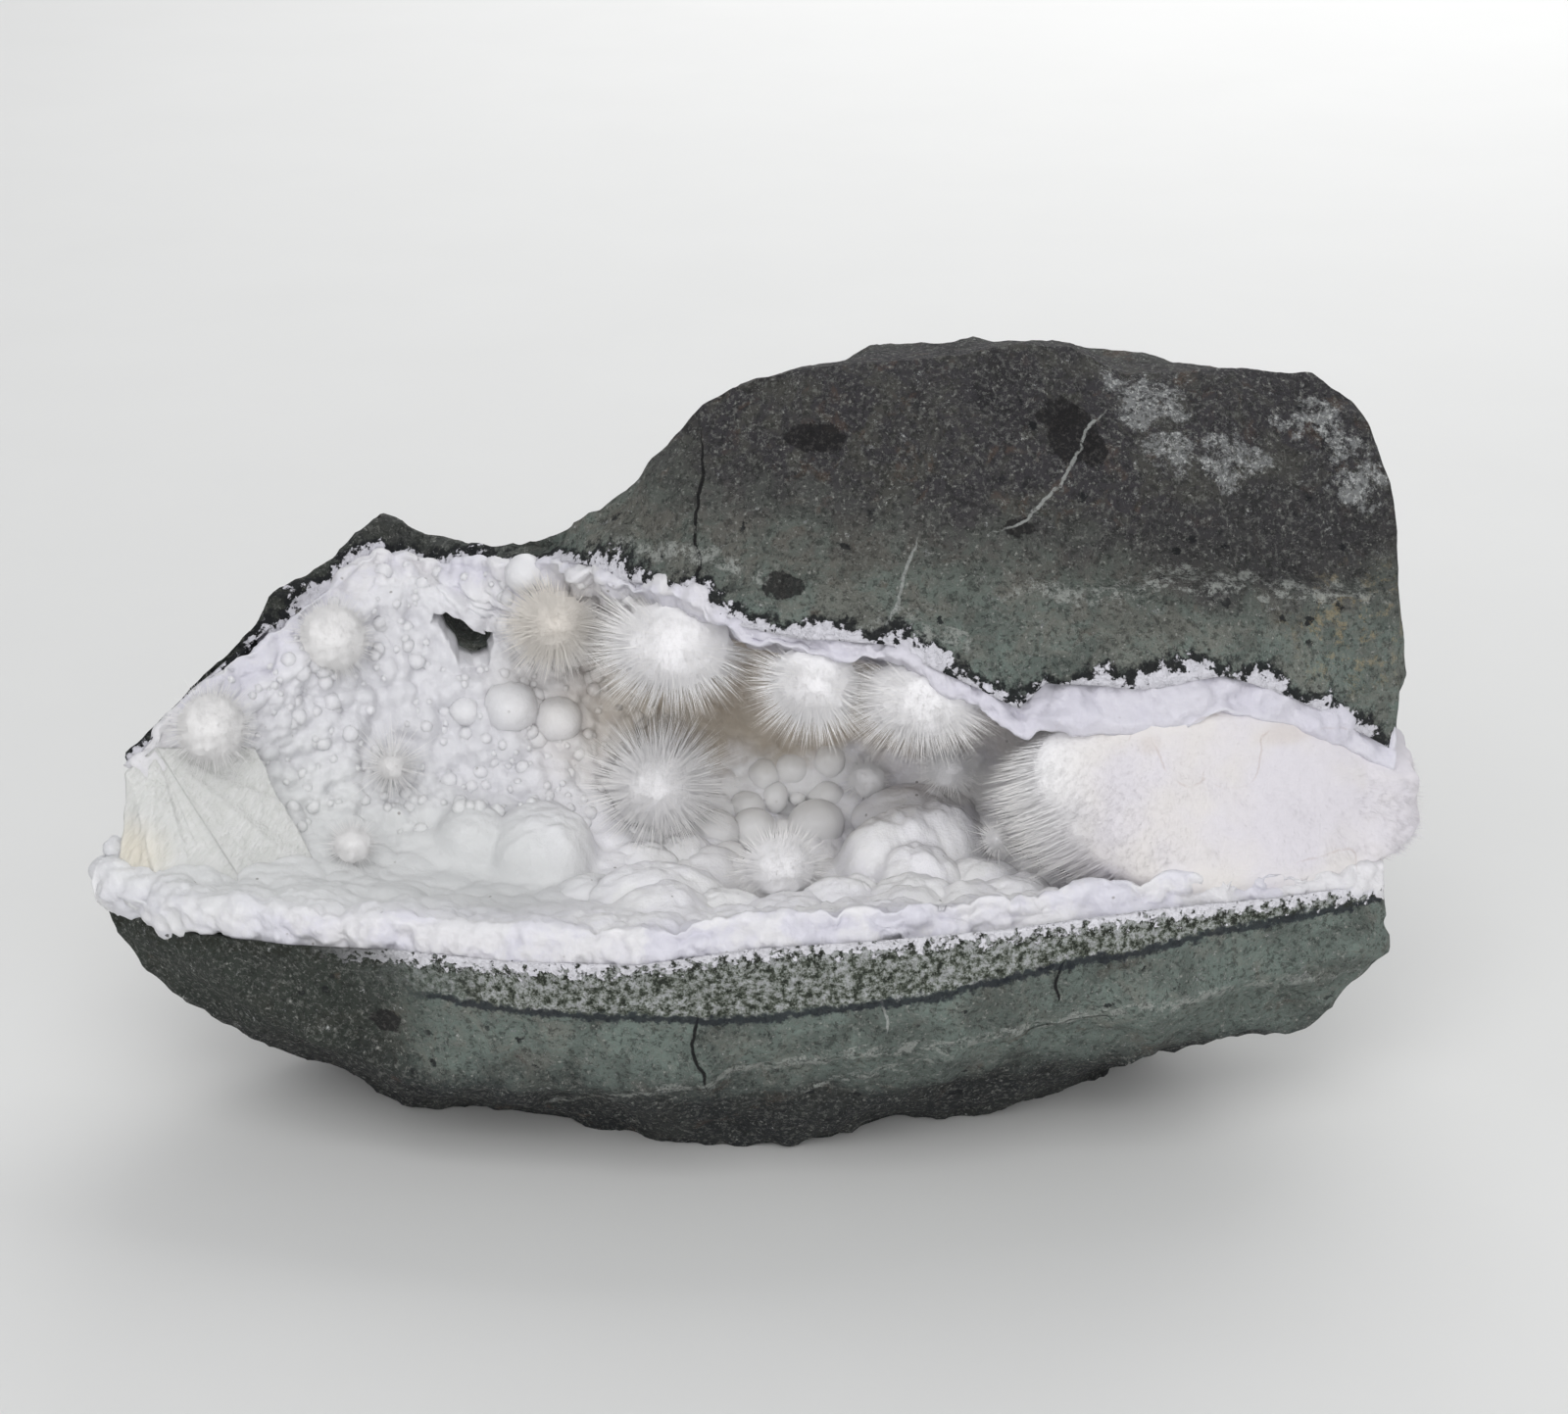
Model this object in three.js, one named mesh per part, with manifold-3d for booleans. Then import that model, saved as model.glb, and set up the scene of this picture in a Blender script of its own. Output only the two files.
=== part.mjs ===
// Okenite puffballs in a broken basalt vug.
//
// A loose fragment of basalt, hollowed on its front by a gas cavity. A white mineral
// crust with lumps lines the cavity, and spiny balls of okenite grow on the crust.
//
// Millimetres. X runs along the length, Y away from the mouth of the cavity and Z up.
// The fragment rests on the flat at z = 0, with the origin under its middle.
//
// A rail is a line along X that keeps its place in every cross-section. The basalt's
// section is the closed loop through all the rails: the cavity wall from the lower lip
// to the upper lip, then the outside, over the crest and down the back to the foot.

import * as THREE from 'three';
import { mergeVertices } from 'three/addons/utils/BufferGeometryUtils.js';
import { ConvexGeometry } from 'three/addons/geometries/ConvexGeometry.js';
import Module from 'manifold-3d';

const wasm = await Module();
wasm.setup();

// ---- Driving dimensions ------------------------------------------------------------

const CENTRE = new THREE.Vector3(-0.9, 0.25, 0); // middle of the box, which goes to the origin
const COLUMNS = 34; // cross-sections along the basalt
const SEAM = 0.35; // gap that each mineral keeps from what it grows on

// [x, y, z] from left to right; smooth rails are the hidden or worn ones.
const RAILS = {
  lowerLip: [
    [-75, -14, 25], [-70, -19, 25], [-63.5, -24, 26], [-51.5, -30, 27.5],
    [-40.5, -33, 28.5], [-27.5, -36, 28.5], [-13.5, -38, 29], [-0.5, -38, 31],
    [13, -37, 31.5], [27, -34, 31.5], [43.5, -30, 32], [57, -26, 31.5],
    [69.5, -20, 30.5],
  ],
  floorFront: [
    [-74, -11.5, 27], [-66, -18, 26], [-55, -23, 25.5], [-40, -26, 25.5], [-27, -28, 25],
    [0, -29.5, 26], [25, -28, 26.5], [45, -23, 27], [58, -19, 27.5], [70, -14, 28],
  ],
  floorBack: [
    [-73, -9.5, 30], [-55, -13, 26], [-40, -13, 24], [-27, -12, 23], [0, -10, 22],
    [25, -10, 22], [45, -8, 24], [58, -6.5, 25.5], [70.5, -5, 27],
  ],
  wallLow: [
    [-72.5, -9, 33], [-55, -5, 31], [-40, -1, 29.5], [-27, 1, 29], [0, 8, 24],
    [25, 8, 24], [45, 6, 27], [58, 3.5, 28.5], [70.5, 1, 30],
  ],
  wallHigh: [
    [-72, -9.5, 36], [-55, -1, 39], [-40, 5.5, 41], [-27, 8, 42], [0, 14, 37],
    [25, 13, 36], [45, 9, 37], [58, 6, 37], [70.5, 2, 36.5],
  ],
  roof: [
    [-71.5, -11, 39.5], [-55, 1, 47], [-42, 9.5, 51], [-27, 10.5, 52], [-12, 8, 54],
    [5, 7, 51.5], [25, 5, 48.5], [45, 2, 47], [58, 0, 46], [71, -3, 42],
  ],
  upperLip: [
    [-71, -13, 42.5], [-66, -8, 48], [-60.5, -3, 51.5], [-56.5, 1, 53.5],
    [-50.5, 7, 56], [-46, 12, 58.5], [-40.5, 14, 56.5], [-32, 10, 58],
    [-24.5, 4, 60.5], [-20, 0, 61.5], [-15.5, -4, 61], [-8.5, -9, 61.5],
    [-2, -13, 58.5], [5.5, -15, 58], [14.5, -17, 58], [21, -18, 54.5],
    [28.5, -19, 51], [31.5, -19, 54], [43.5, -18, 53.5], [51.5, -17, 54.5],
    [59.5, -15, 51], [71.5, -12, 43.5],
  ],
  ledgeEdge: [
    [-71.5, -12.7, 42.7], [-56, 2.5, 54.8], [-50.2, 8.5, 57], [-45.5, 14, 60],
    [-40.7, 16, 57.5], [-34, 13, 58], [-26, 8, 61], [-19.5, 2, 63.5], [-8, -6, 66],
    [5, -10, 64.5], [16, -12, 63.5], [28.5, -13, 62.5], [46, -12, 63.5], [71.5, -8, 60],
  ],
  ledgeBack: [
    [-71.7, -12.4, 42.8], [-56, 3, 55.2], [-50.2, 9.2, 57.5], [-45.3, 15, 60.3],
    [-40.8, 16.7, 57.6], [-35, 14.5, 58], [-27, 9.5, 61], [-19.5, 3.5, 64.5],
    [-8, -4, 68], [5, -8.5, 67], [16, -10.5, 66], [28.5, -11, 65], [46, -8.5, 65],
    [71.5, -5, 62],
  ],
  brow: [
    [-71.8, -12.2, 42.9], [-55.8, 4, 55.7], [-50, 10, 57.8], [-45.1, 16, 60.4],
    [-40.9, 17.3, 57.2], [-36, 16, 57.2], [-28, 11, 60.5], [-19.5, 4.8, 65],
    [-9, -0.5, 74], [2, -2, 76.5], [16, -4, 77], [35, -4, 76.5], [50, -3.5, 75],
    [71, -1, 71.5],
  ],
  crest: [
    [-72, -12, 43], [-66.5, -5, 48], [-61, 0, 52], [-55.5, 5, 56], [-50, 11, 58],
    [-45, 17, 60.5], [-41, 18, 56.5], [-36, 17, 56.5], [-28.5, 12, 59.5],
    [-24, 9, 60.5], [-19.5, 6, 64], [-13.5, 4, 71], [-7, 3, 80], [-0.5, 2, 83.5],
    [15.5, 2, 85], [29, 3, 86.5], [35, 4, 86], [41.5, 4, 83.5], [54, 6, 82.5],
    [63, 7, 82.5], [67.5, 6, 79.5],
  ],
  crestBack: [
    [-71.5, -9, 41], [-60, 5, 49], [-50, 16, 55], [-44, 22, 57], [-36, 22, 54],
    [-28, 19, 57], [-19, 16, 61], [-12, 17, 68], [-4, 18, 77], [15, 19, 81],
    [30, 20, 81], [45, 20, 79], [65, 15, 75],
  ],
  backHigh: [
    [-71.5, -5, 36], [-55, 11, 43], [-42, 22, 46], [-27, 27, 48], [-5, 31, 60],
    [15, 33, 63], [35, 32, 61], [52, 26, 56], [69, 13, 52],
  ],
  backLow: [
    [-71.5, -4, 30], [-55, 9, 25], [-42, 22, 22], [-20, 33, 22], [0, 37, 25],
    [15, 38, 26], [35, 35, 26], [52, 25, 26], [70, 8, 30],
  ],
  footBack: [
    [-73, -8, 23], [-62, -2, 12], [-52, 3, 4], [-46, 7, 0], [-25, 18, 0], [0, 24, 0],
    [20, 23, 0], [36, 14, 0], [41, 10, 0.5], [46, 6, 4], [58, -2, 12], [70.5, -8, 23],
  ],
  footFront: [
    [-74.5, -13, 22.5], [-71, -14, 17.5], [-65.5, -14, 12.5], [-60, -13, 8.5],
    [-52, -9.5, 3], [-47.5, -8.5, 0], [-41.5, -15, 0], [-30.5, -16, 0],
    [-22.5, -18, 0], [-15.5, -21.5, 0], [-10, -25, 0], [2.5, -26, 0], [8, -25, 0],
    [11.5, -22, 0], [17, -19, 0], [26.5, -18, 0], [34.5, -13, 0], [38.5, -10.5, 0],
    [43, -10, 2], [51.5, -14, 7], [58, -17, 10], [63.5, -19, 13.5], [67.5, -20, 18.5],
    [70.5, -19, 22],
  ],
  breakLow: [
    [-74.7, -14, 23.7], [-70, -18, 21.5], [-65, -22, 20.5], [-53.5, -27, 16.5],
    [-44, -30, 13], [-28, -34, 11.5], [-6.5, -36, 13.5], [14, -36, 18],
    [28.5, -34, 17.5], [43.5, -31, 19.5], [56, -27, 21.5], [66, -23, 23], [70, -20, 27],
  ],
};
const SMOOTH_RAILS = new Set([
  'floorFront', 'floorBack', 'wallLow', 'wallHigh', 'roof', 'crestBack', 'backHigh', 'backLow',
]);

// The cavity wall: [rail, place across the wall from lower lip 0 to upper lip 1].
const CAVITY = [
  ['lowerLip', 0], ['floorFront', 0.1], ['floorBack', 0.28], ['wallLow', 0.46],
  ['wallHigh', 0.63], ['roof', 0.8], ['upperLip', 1],
];
const CAVITY_ROWS = 13;

// The outside: [rail, rows up to the next rail, roundness there, chip depth at the rail].
const OUTSIDE = [
  ['upperLip', 1, 0, 0], ['ledgeEdge', 1, 0, 0.3], ['ledgeBack', 2, 0.3, 0.5],
  ['brow', 2, 0.3, 0.7], ['crest', 2, 0.5, 0.25], ['crestBack', 4, 1, 0.8],
  ['backHigh', 6, 1, 1], ['backLow', 5, 1, 1], ['footBack', 2, 0, 0],
  ['footFront', 2, 0.2, 0], ['breakLow', 2, 0.2, 0.4], ['lowerLip', 0, 0, 0],
];

// Lumps of the crust: [x, y, z, radius] of the ball that each one is the top of.
const WALL_LUMPS = [
  [-29.7, 3, 42.5, 3.2], [-23.9, 3.7, 40.3, 2.9], [-35.3, 2.6, 41.7, 1.7],
  [-50.4, -0.5, 46.7, 1.5], [-53.4, -2.1, 47.2, 1.2], [-45.3, 1.5, 45.1, 1.6],
  [-51.4, -1.5, 44.6, 1.2], [-38.7, 2.7, 42.7, 1.4], [-54.5, -3, 45.5, 1.2],
  [-42.5, 3.1, 46.1, 1.5], [-39.4, 4.2, 46.3, 1.3], [-55.5, -6, 37.1, 1.8],
  [-53.6, -6, 35.4, 1.5], [-54, -4.6, 38.8, 1.3], [-45.3, 2.9, 48.3, 1.4],
  [-47.5, -0.4, 42.3, 1.3], [-36.3, 8, 55.9, 1.7], [-44.1, 6.9, 55.8, 1.9],
  [-27.1, 2.5, 59.2, 2.5], [-32, 6, 58.2, 2],
];
const FLOOR_LUMPS = [
  [-33.8, -5.3, 31.2, 4.4], [-25.7, -6.3, 30, 6], [-11.2, -23.1, 28.6, 6.2],
  [-20.1, -13.8, 26.9, 3.6], [-30.9, -17.2, 27.3, 3], [-48.6, -17.9, 28.8, 3],
  [-75, -13.5, 29.8, 1.8], [-74.2, -15.6, 28.4, 1.6], [-74, -12.5, 32, 1.4],
  [-1.2, 4.2, 26.7, 2.4], [-5.5, 2.2, 27, 2.7], [6.3, 5.2, 26.7, 3.3],
  [1.3, 8.2, 28.9, 1.8], [-1.8, 6.9, 28.3, 1.9], [7.5, 8.8, 28.7, 1.8],
  [3.5, 9.9, 32.2, 2], [8, 10.4, 32.7, 1.8], [-0.2, 9.2, 31.3, 1.8],
];
const LIP_LUMPS = [
  [13.7, -9, 30.4, 5], [20.6, -6, 31, 5.2], [23.4, -9, 28.8, 4.4], [17.6, -12, 28, 5.4],
  [10.2, -18.3, 27.7, 4], [16.8, -22.8, 28.8, 4.4], [23.4, -20.8, 28.6, 4.4],
  [29.1, -18.7, 28, 4], [29.5, -14, 29.6, 2.5], [34.2, -12, 29, 2.6],
  [41.3, -19, 30.2, 2.6], [45.8, -20, 30.8, 2.8],
];
const HANGING_LUMPS = [
  [49.5, -16.5, 47.5, 3.3], [44.6, -17, 50, 2.8], [34, -17.5, 50, 2.2],
  [39.4, -17.5, 50.2, 3.3], [52.5, -15.5, 46, 2], [55.7, -15, 47.7, 1.9],
];

// Cleaved blades at the left end: the corners of two wedges that share one ridge.
const BLADES = [
  [[-68.4, -11, 43.5], [-59.4, -14, 32.5], [-68, -17, 30.5], [-72, -15, 32], [-66, -8, 31]],
  [[-68, -10.5, 43.5], [-58, -8, 42], [-52, -12.5, 31.5], [-59.6, -14.5, 32], [-57, -5, 32]],
];

// The hole that breaks through the wall: outline across the line of sight, then depth.
const HOLE = {
  centre: [-35.4, 10, 50.6], pitch: -0.37, depth: 30,
  outline: [[-3.1, 2], [-1.6, 2.4], [0.3, 1.2], [2.9, 0.2], [2.4, -1.6], [0.6, -2.4],
    [-1.1, -1.4], [-2, 0.2]],
};

// Spiny balls: name -> centre, radii of the packed core along X, Y, Z, and needle tips
// beyond it. Balls that touch are listed together and make one solid.
const PUFFBALLS = {
  puffball_left: [{ at: [-62.3, -12, 46.2], core: [4.2, 4.2, 4.2], tips: 2.4 }],
  puffball_upper_left: [{ at: [-49.8, 1, 51.9], core: [4.4, 4, 4.2], tips: 1.6 }],
  puffballs_roof: [
    { at: [-23.7, 2, 53.4], core: [6, 5, 5], tips: 1.4 },
    { at: [-10, -5, 53], core: [7.4, 6, 5.2], tips: 4 },
    { at: [5.9, -11.5, 51], core: [5, 5, 5], tips: 3.8 },
    { at: [18.2, -12, 49.8], core: [6.6, 5, 4.8], tips: 3.6 },
  ],
  puffball_centre: [{ at: [-12.3, 0.8, 33.4], core: [5.2, 5.2, 5.2], tips: 6 }],
  puffball_front: [{ at: [2, -14, 29.6], core: [4.4, 4, 3.4], tips: 2.8 }],
  puffball_floor: [{ at: [-47, -11.5, 31.4], core: [2.6, 2.6, 2.4], tips: 1.6 }],
  puffball_wall: [{ at: [-43, -4, 38], core: [3, 3, 3], tips: 4.2 }],
  puffball_grey: [{ at: [12.4, 8.4, 31], core: [2.2, 2.2, 2.2], tips: 1.4 }],
  puffball_ledge: [{ at: [21.7, 0, 36], core: [2.6, 2.6, 2.2], tips: 1.6 }],
  puffball_tuft: [{ at: [26.8, -11.2, 32], core: [1.6, 1.6, 1.6], tips: 1.4 }],
};
const NEEDLE_CLEARANCE = 1.5; // how far a needle's tip stands off the crust, at least
const SMALL_BALL = 5; // core radius below which a ball has fewer needles
// The great ball that fills the right end, broken off level with the cavity's mouth.
const GREAT_BALL = {
  at: [52.8, -10.5, 38.8], radii: [22.7, 12.5, 9.6], squareness: 0.55, tips: 3.2, tipsBelowX: 40,
};

const COLOURS = {
  basalt: 0x4a5046, crust: 0xe4e2e6, okenite: 0xf3efe9,
};

// ---- Rails and sections --------------------------------------------------------------

/** Value of a curve through `values` at `knots`, from straight (0) to rounded (1). */
function through(knots, values, at, roundness) {
  let i = 0;
  while (i < knots.length - 2 && at >= knots[i + 1]) i += 1;
  const span = knots[i + 1] - knots[i];
  const s = (at - knots[i]) / span;
  const slope = (k) => {
    const lo = Math.max(k - 1, 0);
    const hi = Math.min(k + 1, knots.length - 1);
    return values[hi].clone().sub(values[lo]).divideScalar(knots[hi] - knots[lo]);
  };
  const straight = values[i].clone().lerp(values[i + 1], s);
  if (roundness === 0) return straight;
  const curved = values[i].clone().multiplyScalar(2 * s ** 3 - 3 * s ** 2 + 1)
    .addScaledVector(slope(i), (s ** 3 - 2 * s ** 2 + s) * span)
    .addScaledVector(values[i + 1], 3 * s ** 2 - 2 * s ** 3)
    .addScaledVector(slope(i + 1), (s ** 3 - s ** 2) * span);
  return straight.lerp(curved, roundness);
}

/** Point of a rail at u, 0 at its left end and 1 at its right end. */
function railPoint(name, u) {
  const points = RAILS[name].map((p) => new THREE.Vector3(...p));
  const first = points[0].x;
  const last = points[points.length - 1].x;
  const x = first + (last - first) * u;
  const inside = Math.min(Math.max(x, first), last);
  const point = through(points.map((p) => p.x), points, inside, SMOOTH_RAILS.has(name) ? 1 : 0);
  return point.setX(x);
}

/** Point of the cavity wall: u along the length, v from lower lip 0 to upper lip 1. */
function cavityPoint(u, v) {
  return through(CAVITY.map((c) => c[1]), CAVITY.map((c) => railPoint(c[0], u)), v, 1);
}

/** Unit normal of the cavity wall, into the cavity. */
function cavityNormal(u, v) {
  const e = 2e-3;
  const alongU = cavityPoint(Math.min(u + e, 1), v).sub(cavityPoint(Math.max(u - e, 0), v));
  const alongV = cavityPoint(u, Math.min(v + e, 1)).sub(cavityPoint(u, Math.max(v - e, 0)));
  return alongU.cross(alongV).normalize();
}

// ---- Broken rock ---------------------------------------------------------------------

const CHIPS = { count: 300, seed: 11, tilt: 0.26, curve: 0.017, spread: 2, mean: 1.1, depth: 2.6 };

/** Random numbers from 0 to 1, the same on every run. */
function randomFrom(seed) {
  let state = seed;
  return () => {
    state = (state * 1664525 + 1013904223) % 4294967296;
    return state / 4294967296;
  };
}

/** Sites of the conchoidal chips: place, slope and level of each. */
function chipSites() {
  const random = randomFrom(CHIPS.seed);
  const sites = [];
  for (let i = 0; i < CHIPS.count; i += 1) {
    const at = new THREE.Vector3(
      -78 + 156 * random(), -42 + 84 * random(), -4 + 94 * random());
    const slope = new THREE.Vector3(
      random() - 0.5, random() - 0.5, random() - 0.5).multiplyScalar(2 * CHIPS.tilt);
    sites.push({ at, slope, level: CHIPS.spread * random() });
  }
  return sites;
}
const SITES = chipSites();

/** Depth of the chips at a point: the lowest of many shallow bowls, so edges are sharp. */
function chipDepth(point) {
  let lowest = Infinity;
  for (const site of SITES) {
    const away = point.clone().sub(site.at);
    const bowl = site.level + site.slope.dot(away) + CHIPS.curve * away.lengthSq();
    lowest = Math.min(lowest, bowl);
  }
  return Math.min(Math.max(lowest - CHIPS.mean, -CHIPS.depth), CHIPS.depth);
}

// ---- Meshes and solids ---------------------------------------------------------------

/** Closed geometry from points and triangles. */
function geometryOf(points, triangles) {
  const geometry = new THREE.BufferGeometry();
  geometry.setAttribute('position',
    new THREE.BufferAttribute(new Float32Array(points.flatMap((p) => [p.x, p.y, p.z])), 3));
  geometry.setIndex(triangles);
  return geometry;
}

function solidOf(geometry) {
  const bare = geometry.clone();
  bare.deleteAttribute('normal');
  bare.deleteAttribute('uv');
  const merged = mergeVertices(bare, 1e-4);
  return new wasm.Manifold(new wasm.Mesh({
    numProp: 3,
    vertProperties: new Float32Array(merged.attributes.position.array),
    triVerts: new Uint32Array(merged.index.array),
  }));
}

/** The largest body of a solid, so that crumbs left by a cut fall away. */
function largestBody(solid) {
  const bodies = solid.decompose();
  return bodies.reduce((a, b) => (b.volume() > a.volume() ? b : a));
}

function meshOf(name, solid, material) {
  const { vertProperties, triVerts } = largestBody(solid).getMesh();
  const geometry = new THREE.BufferGeometry();
  geometry.setAttribute('position', new THREE.BufferAttribute(vertProperties, 3));
  geometry.setIndex(new THREE.BufferAttribute(triVerts, 1));
  geometry.computeVertexNormals();
  const mesh = new THREE.Mesh(geometry, material);
  mesh.name = name;
  return mesh;
}

/** Triangles of a grid of `columns` by `rows` points, from point number `first`. */
function gridTriangles(columns, rows, first, flipped) {
  const triangles = [];
  for (let i = 0; i < columns - 1; i += 1) {
    for (let j = 0; j < rows - 1; j += 1) {
      const a = first + i * rows + j;
      const b = a + rows;
      const quad = flipped ? [a, a + 1, b, b, a + 1, b + 1] : [a, b, a + 1, b, b + 1, a + 1];
      triangles.push(...quad);
    }
  }
  return triangles;
}

// ---- Basalt --------------------------------------------------------------------------

/** One cross-section of the basalt, as a closed loop of points. */
function basaltSection(u) {
  const loop = [];
  for (let row = 0; row < CAVITY_ROWS; row += 1) loop.push(cavityPoint(u, row / CAVITY_ROWS));
  const rails = OUTSIDE.map((o) => railPoint(o[0], u));
  const knots = OUTSIDE.map((o, k) => k);
  const depths = OUTSIDE.map((o) => o[3]);
  OUTSIDE.forEach(([, rows, roundness], k) => {
    for (let row = 0; row < rows; row += 1) {
      const at = k + row / rows;
      const point = through(knots, rails, at, roundness);
      point.chip = depths[k] + (depths[k + 1] - depths[k]) * (row / rows);
      loop.push(point);
    }
  });
  return loop;
}

/** Points of the loft, chipped along the loft's own normals. */
function basaltPoints() {
  const sections = Array.from({ length: COLUMNS }, (_, i) => basaltSection(i / (COLUMNS - 1)));
  const rows = sections[0].length;
  return sections.map((section, i) => section.map((point, j) => {
    if (!point.chip) return point;
    const before = sections[Math.max(i - 1, 0)][j];
    const after = sections[Math.min(i + 1, COLUMNS - 1)][j];
    const down = section[(j + rows - 1) % rows];
    const up = section[(j + 1) % rows];
    const normal = after.clone().sub(before).cross(up.clone().sub(down)).normalize();
    return point.clone().addScaledVector(normal, chipDepth(point) * point.chip);
  }));
}

function basaltGeometry() {
  const sections = basaltPoints();
  const rows = sections[0].length;
  const triangles = [];
  for (let i = 0; i < COLUMNS - 1; i += 1) {
    for (let j = 0; j < rows; j += 1) {
      const a = i * rows + j;
      const b = i * rows + ((j + 1) % rows);
      triangles.push(a, a + rows, b, a + rows, b + rows, b);
    }
  }
  const capOf = (section) => {
    const outline = section.map((p) => new THREE.Vector2(p.y, p.z));
    return THREE.ShapeUtils.triangulateShape(outline, []);
  };
  const last = (COLUMNS - 1) * rows;
  for (const [a, b, c] of capOf(sections[0])) triangles.push(a, c, b);
  for (const [a, b, c] of capOf(sections[COLUMNS - 1])) triangles.push(last + a, last + b, last + c);
  return geometryOf(sections.flat(), triangles);
}

// ---- Crust ---------------------------------------------------------------------------

/** `count` numbers from `low` to `high`. */
function steps(count, low, high) {
  return Array.from({ length: count }, (_, i) => low + (high - low) * (i / (count - 1)));
}

// Grids over the cavity wall. The bed repeats the basalt's own facets and goes past them.
const CRUST_GRID = { us: steps(48, -0.004, 1.004), vs: steps(21, 0.004, 0.996) };
const BED_GRID = {
  us: [-0.04, ...steps(COLUMNS, 0, 1), 1.04], vs: [-0.04, ...steps(CAVITY_ROWS + 1, 0, 1), 1.04],
};
const SEAT_GRID = { us: steps(18, -0.04, 1.04), vs: steps(11, -0.04, 1.04) };
const CRUST = { wall: 3, lowerLip: 4, upperLip: 5.2, topLeft: 1.1, rightEnd: 0.45, lumpRise: 5 };
const CRUST_UNDER = 2.5; // how far the crust starts below the wall before it is fitted
const BED_DEPTH = 9;
const SEAT = 0.6; // how deep a puffball sits, as a part of the crust's thickness
const LUMPS = [...WALL_LUMPS, ...FLOOR_LUMPS, ...LIP_LUMPS, ...HANGING_LUMPS].map(
  ([x, y, z, radius]) => ({ at: new THREE.Vector3(x, y, z), radius }));

/** Thickness of the bare crust: thick at the lips, thin at the top left and right end. */
function crustThickness(u, v) {
  const { lerp, smoothstep } = THREE.MathUtils;
  const lower = CRUST.wall + (CRUST.lowerLip - CRUST.wall) * Math.max(0, 1 - v / 0.08);
  const upperLip = lerp(CRUST.topLeft, CRUST.upperLip, smoothstep(u, 0.32, 0.6));
  const full = lerp(lower, upperLip, smoothstep(v, 0.86, 1));
  return full * lerp(1, CRUST.rightEnd, smoothstep(u, 0.8, 0.97));
}

/** Height above the wall where the line from `foot` along `normal` leaves the last lump. */
function lumpHeight(foot, normal) {
  let highest = 0;
  for (const { at, radius } of LUMPS) {
    const toFoot = foot.clone().sub(at);
    const along = toFoot.dot(normal);
    const inside = along ** 2 - (toFoot.lengthSq() - radius ** 2);
    const isNear = toFoot.length() < radius + CRUST.lumpRise;
    if (isNear && inside > 0) highest = Math.max(highest, Math.sqrt(inside) - along);
  }
  return highest;
}

/** Closed slab along the cavity wall, between two heights above it. */
function slab({ us, vs }, low, high) {
  const inside = (value) => Math.min(Math.max(value, 0), 1);
  const points = [high, low].flatMap((height) => us.flatMap((u) => vs.map((v) => {
    const foot = cavityPoint(u, v);
    const normal = cavityNormal(inside(u), inside(v));
    return foot.addScaledVector(normal, height(foot, normal, inside(u), inside(v)));
  })));
  const columns = us.length;
  const rows = vs.length;
  const count = columns * rows;
  const triangles = [
    ...gridTriangles(columns, rows, 0, false),
    ...gridTriangles(columns, rows, count, true),
  ];
  const edge = [];
  for (let i = 0; i < columns; i += 1) edge.push(i * rows);
  for (let j = 1; j < rows; j += 1) edge.push((columns - 1) * rows + j);
  for (let i = columns - 2; i >= 0; i -= 1) edge.push(i * rows + rows - 1);
  for (let j = rows - 2; j > 0; j -= 1) edge.push(j);
  edge.forEach((a, k) => {
    const b = edge[(k + 1) % edge.length];
    triangles.push(a, a + count, b, b, a + count, b + count);
  });
  return solidOf(geometryOf(points, triangles));
}

function blade(corners) {
  return solidOf(new ConvexGeometry(corners.map((c) => new THREE.Vector3(...c))));
}

/** Height of the crust's face above the wall, lumps and all. */
function crustTop(foot, normal, u, v) {
  return Math.max(crustThickness(u, v), lumpHeight(foot, normal));
}

/** The crust with its lumps and blades, before it is fitted to its neighbours. */
function crustBody() {
  const sheet = slab(CRUST_GRID, () => -CRUST_UNDER, crustTop);
  return BLADES.map(blade).reduce((body, part) => body.add(part), sheet);
}

/** The rock behind the crust, and the rock with the part of the crust below a puffball. */
function bed() {
  return slab(BED_GRID, () => -BED_DEPTH, () => SEAM);
}

function seat() {
  return slab(SEAT_GRID, () => -BED_DEPTH, (foot, normal, u, v) => SEAT * crustThickness(u, v));
}

function hole() {
  const outline = new THREE.Shape(HOLE.outline.map(([x, y]) => new THREE.Vector2(x, y)));
  const prism = new THREE.ExtrudeGeometry(outline, { depth: HOLE.depth, bevelEnabled: false });
  prism.translate(0, 0, -HOLE.depth / 2);
  prism.rotateX(Math.PI / 2 + HOLE.pitch);
  return solidOf(prism.translate(...HOLE.centre));
}

// ---- Puffballs -----------------------------------------------------------------------

/** Points all over the crust's face, with the wall's normals. */
const CRUST_FACE = steps(60, 0, 1).flatMap((u) => steps(30, 0, 1).map((v) => {
  const normal = cavityNormal(u, v);
  const foot = cavityPoint(u, v);
  return { at: foot.clone().addScaledVector(normal, crustTop(foot, normal, u, v)), normal };
}));

/** How far a point stands out of the crust, measured at the nearest point of its face. */
function standOff(point) {
  let nearest = CRUST_FACE[0];
  let least = Infinity;
  for (const sample of CRUST_FACE) {
    const distance = sample.at.distanceToSquared(point);
    if (distance < least) [nearest, least] = [sample, distance];
  }
  return point.clone().sub(nearest.at).dot(nearest.normal);
}

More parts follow.
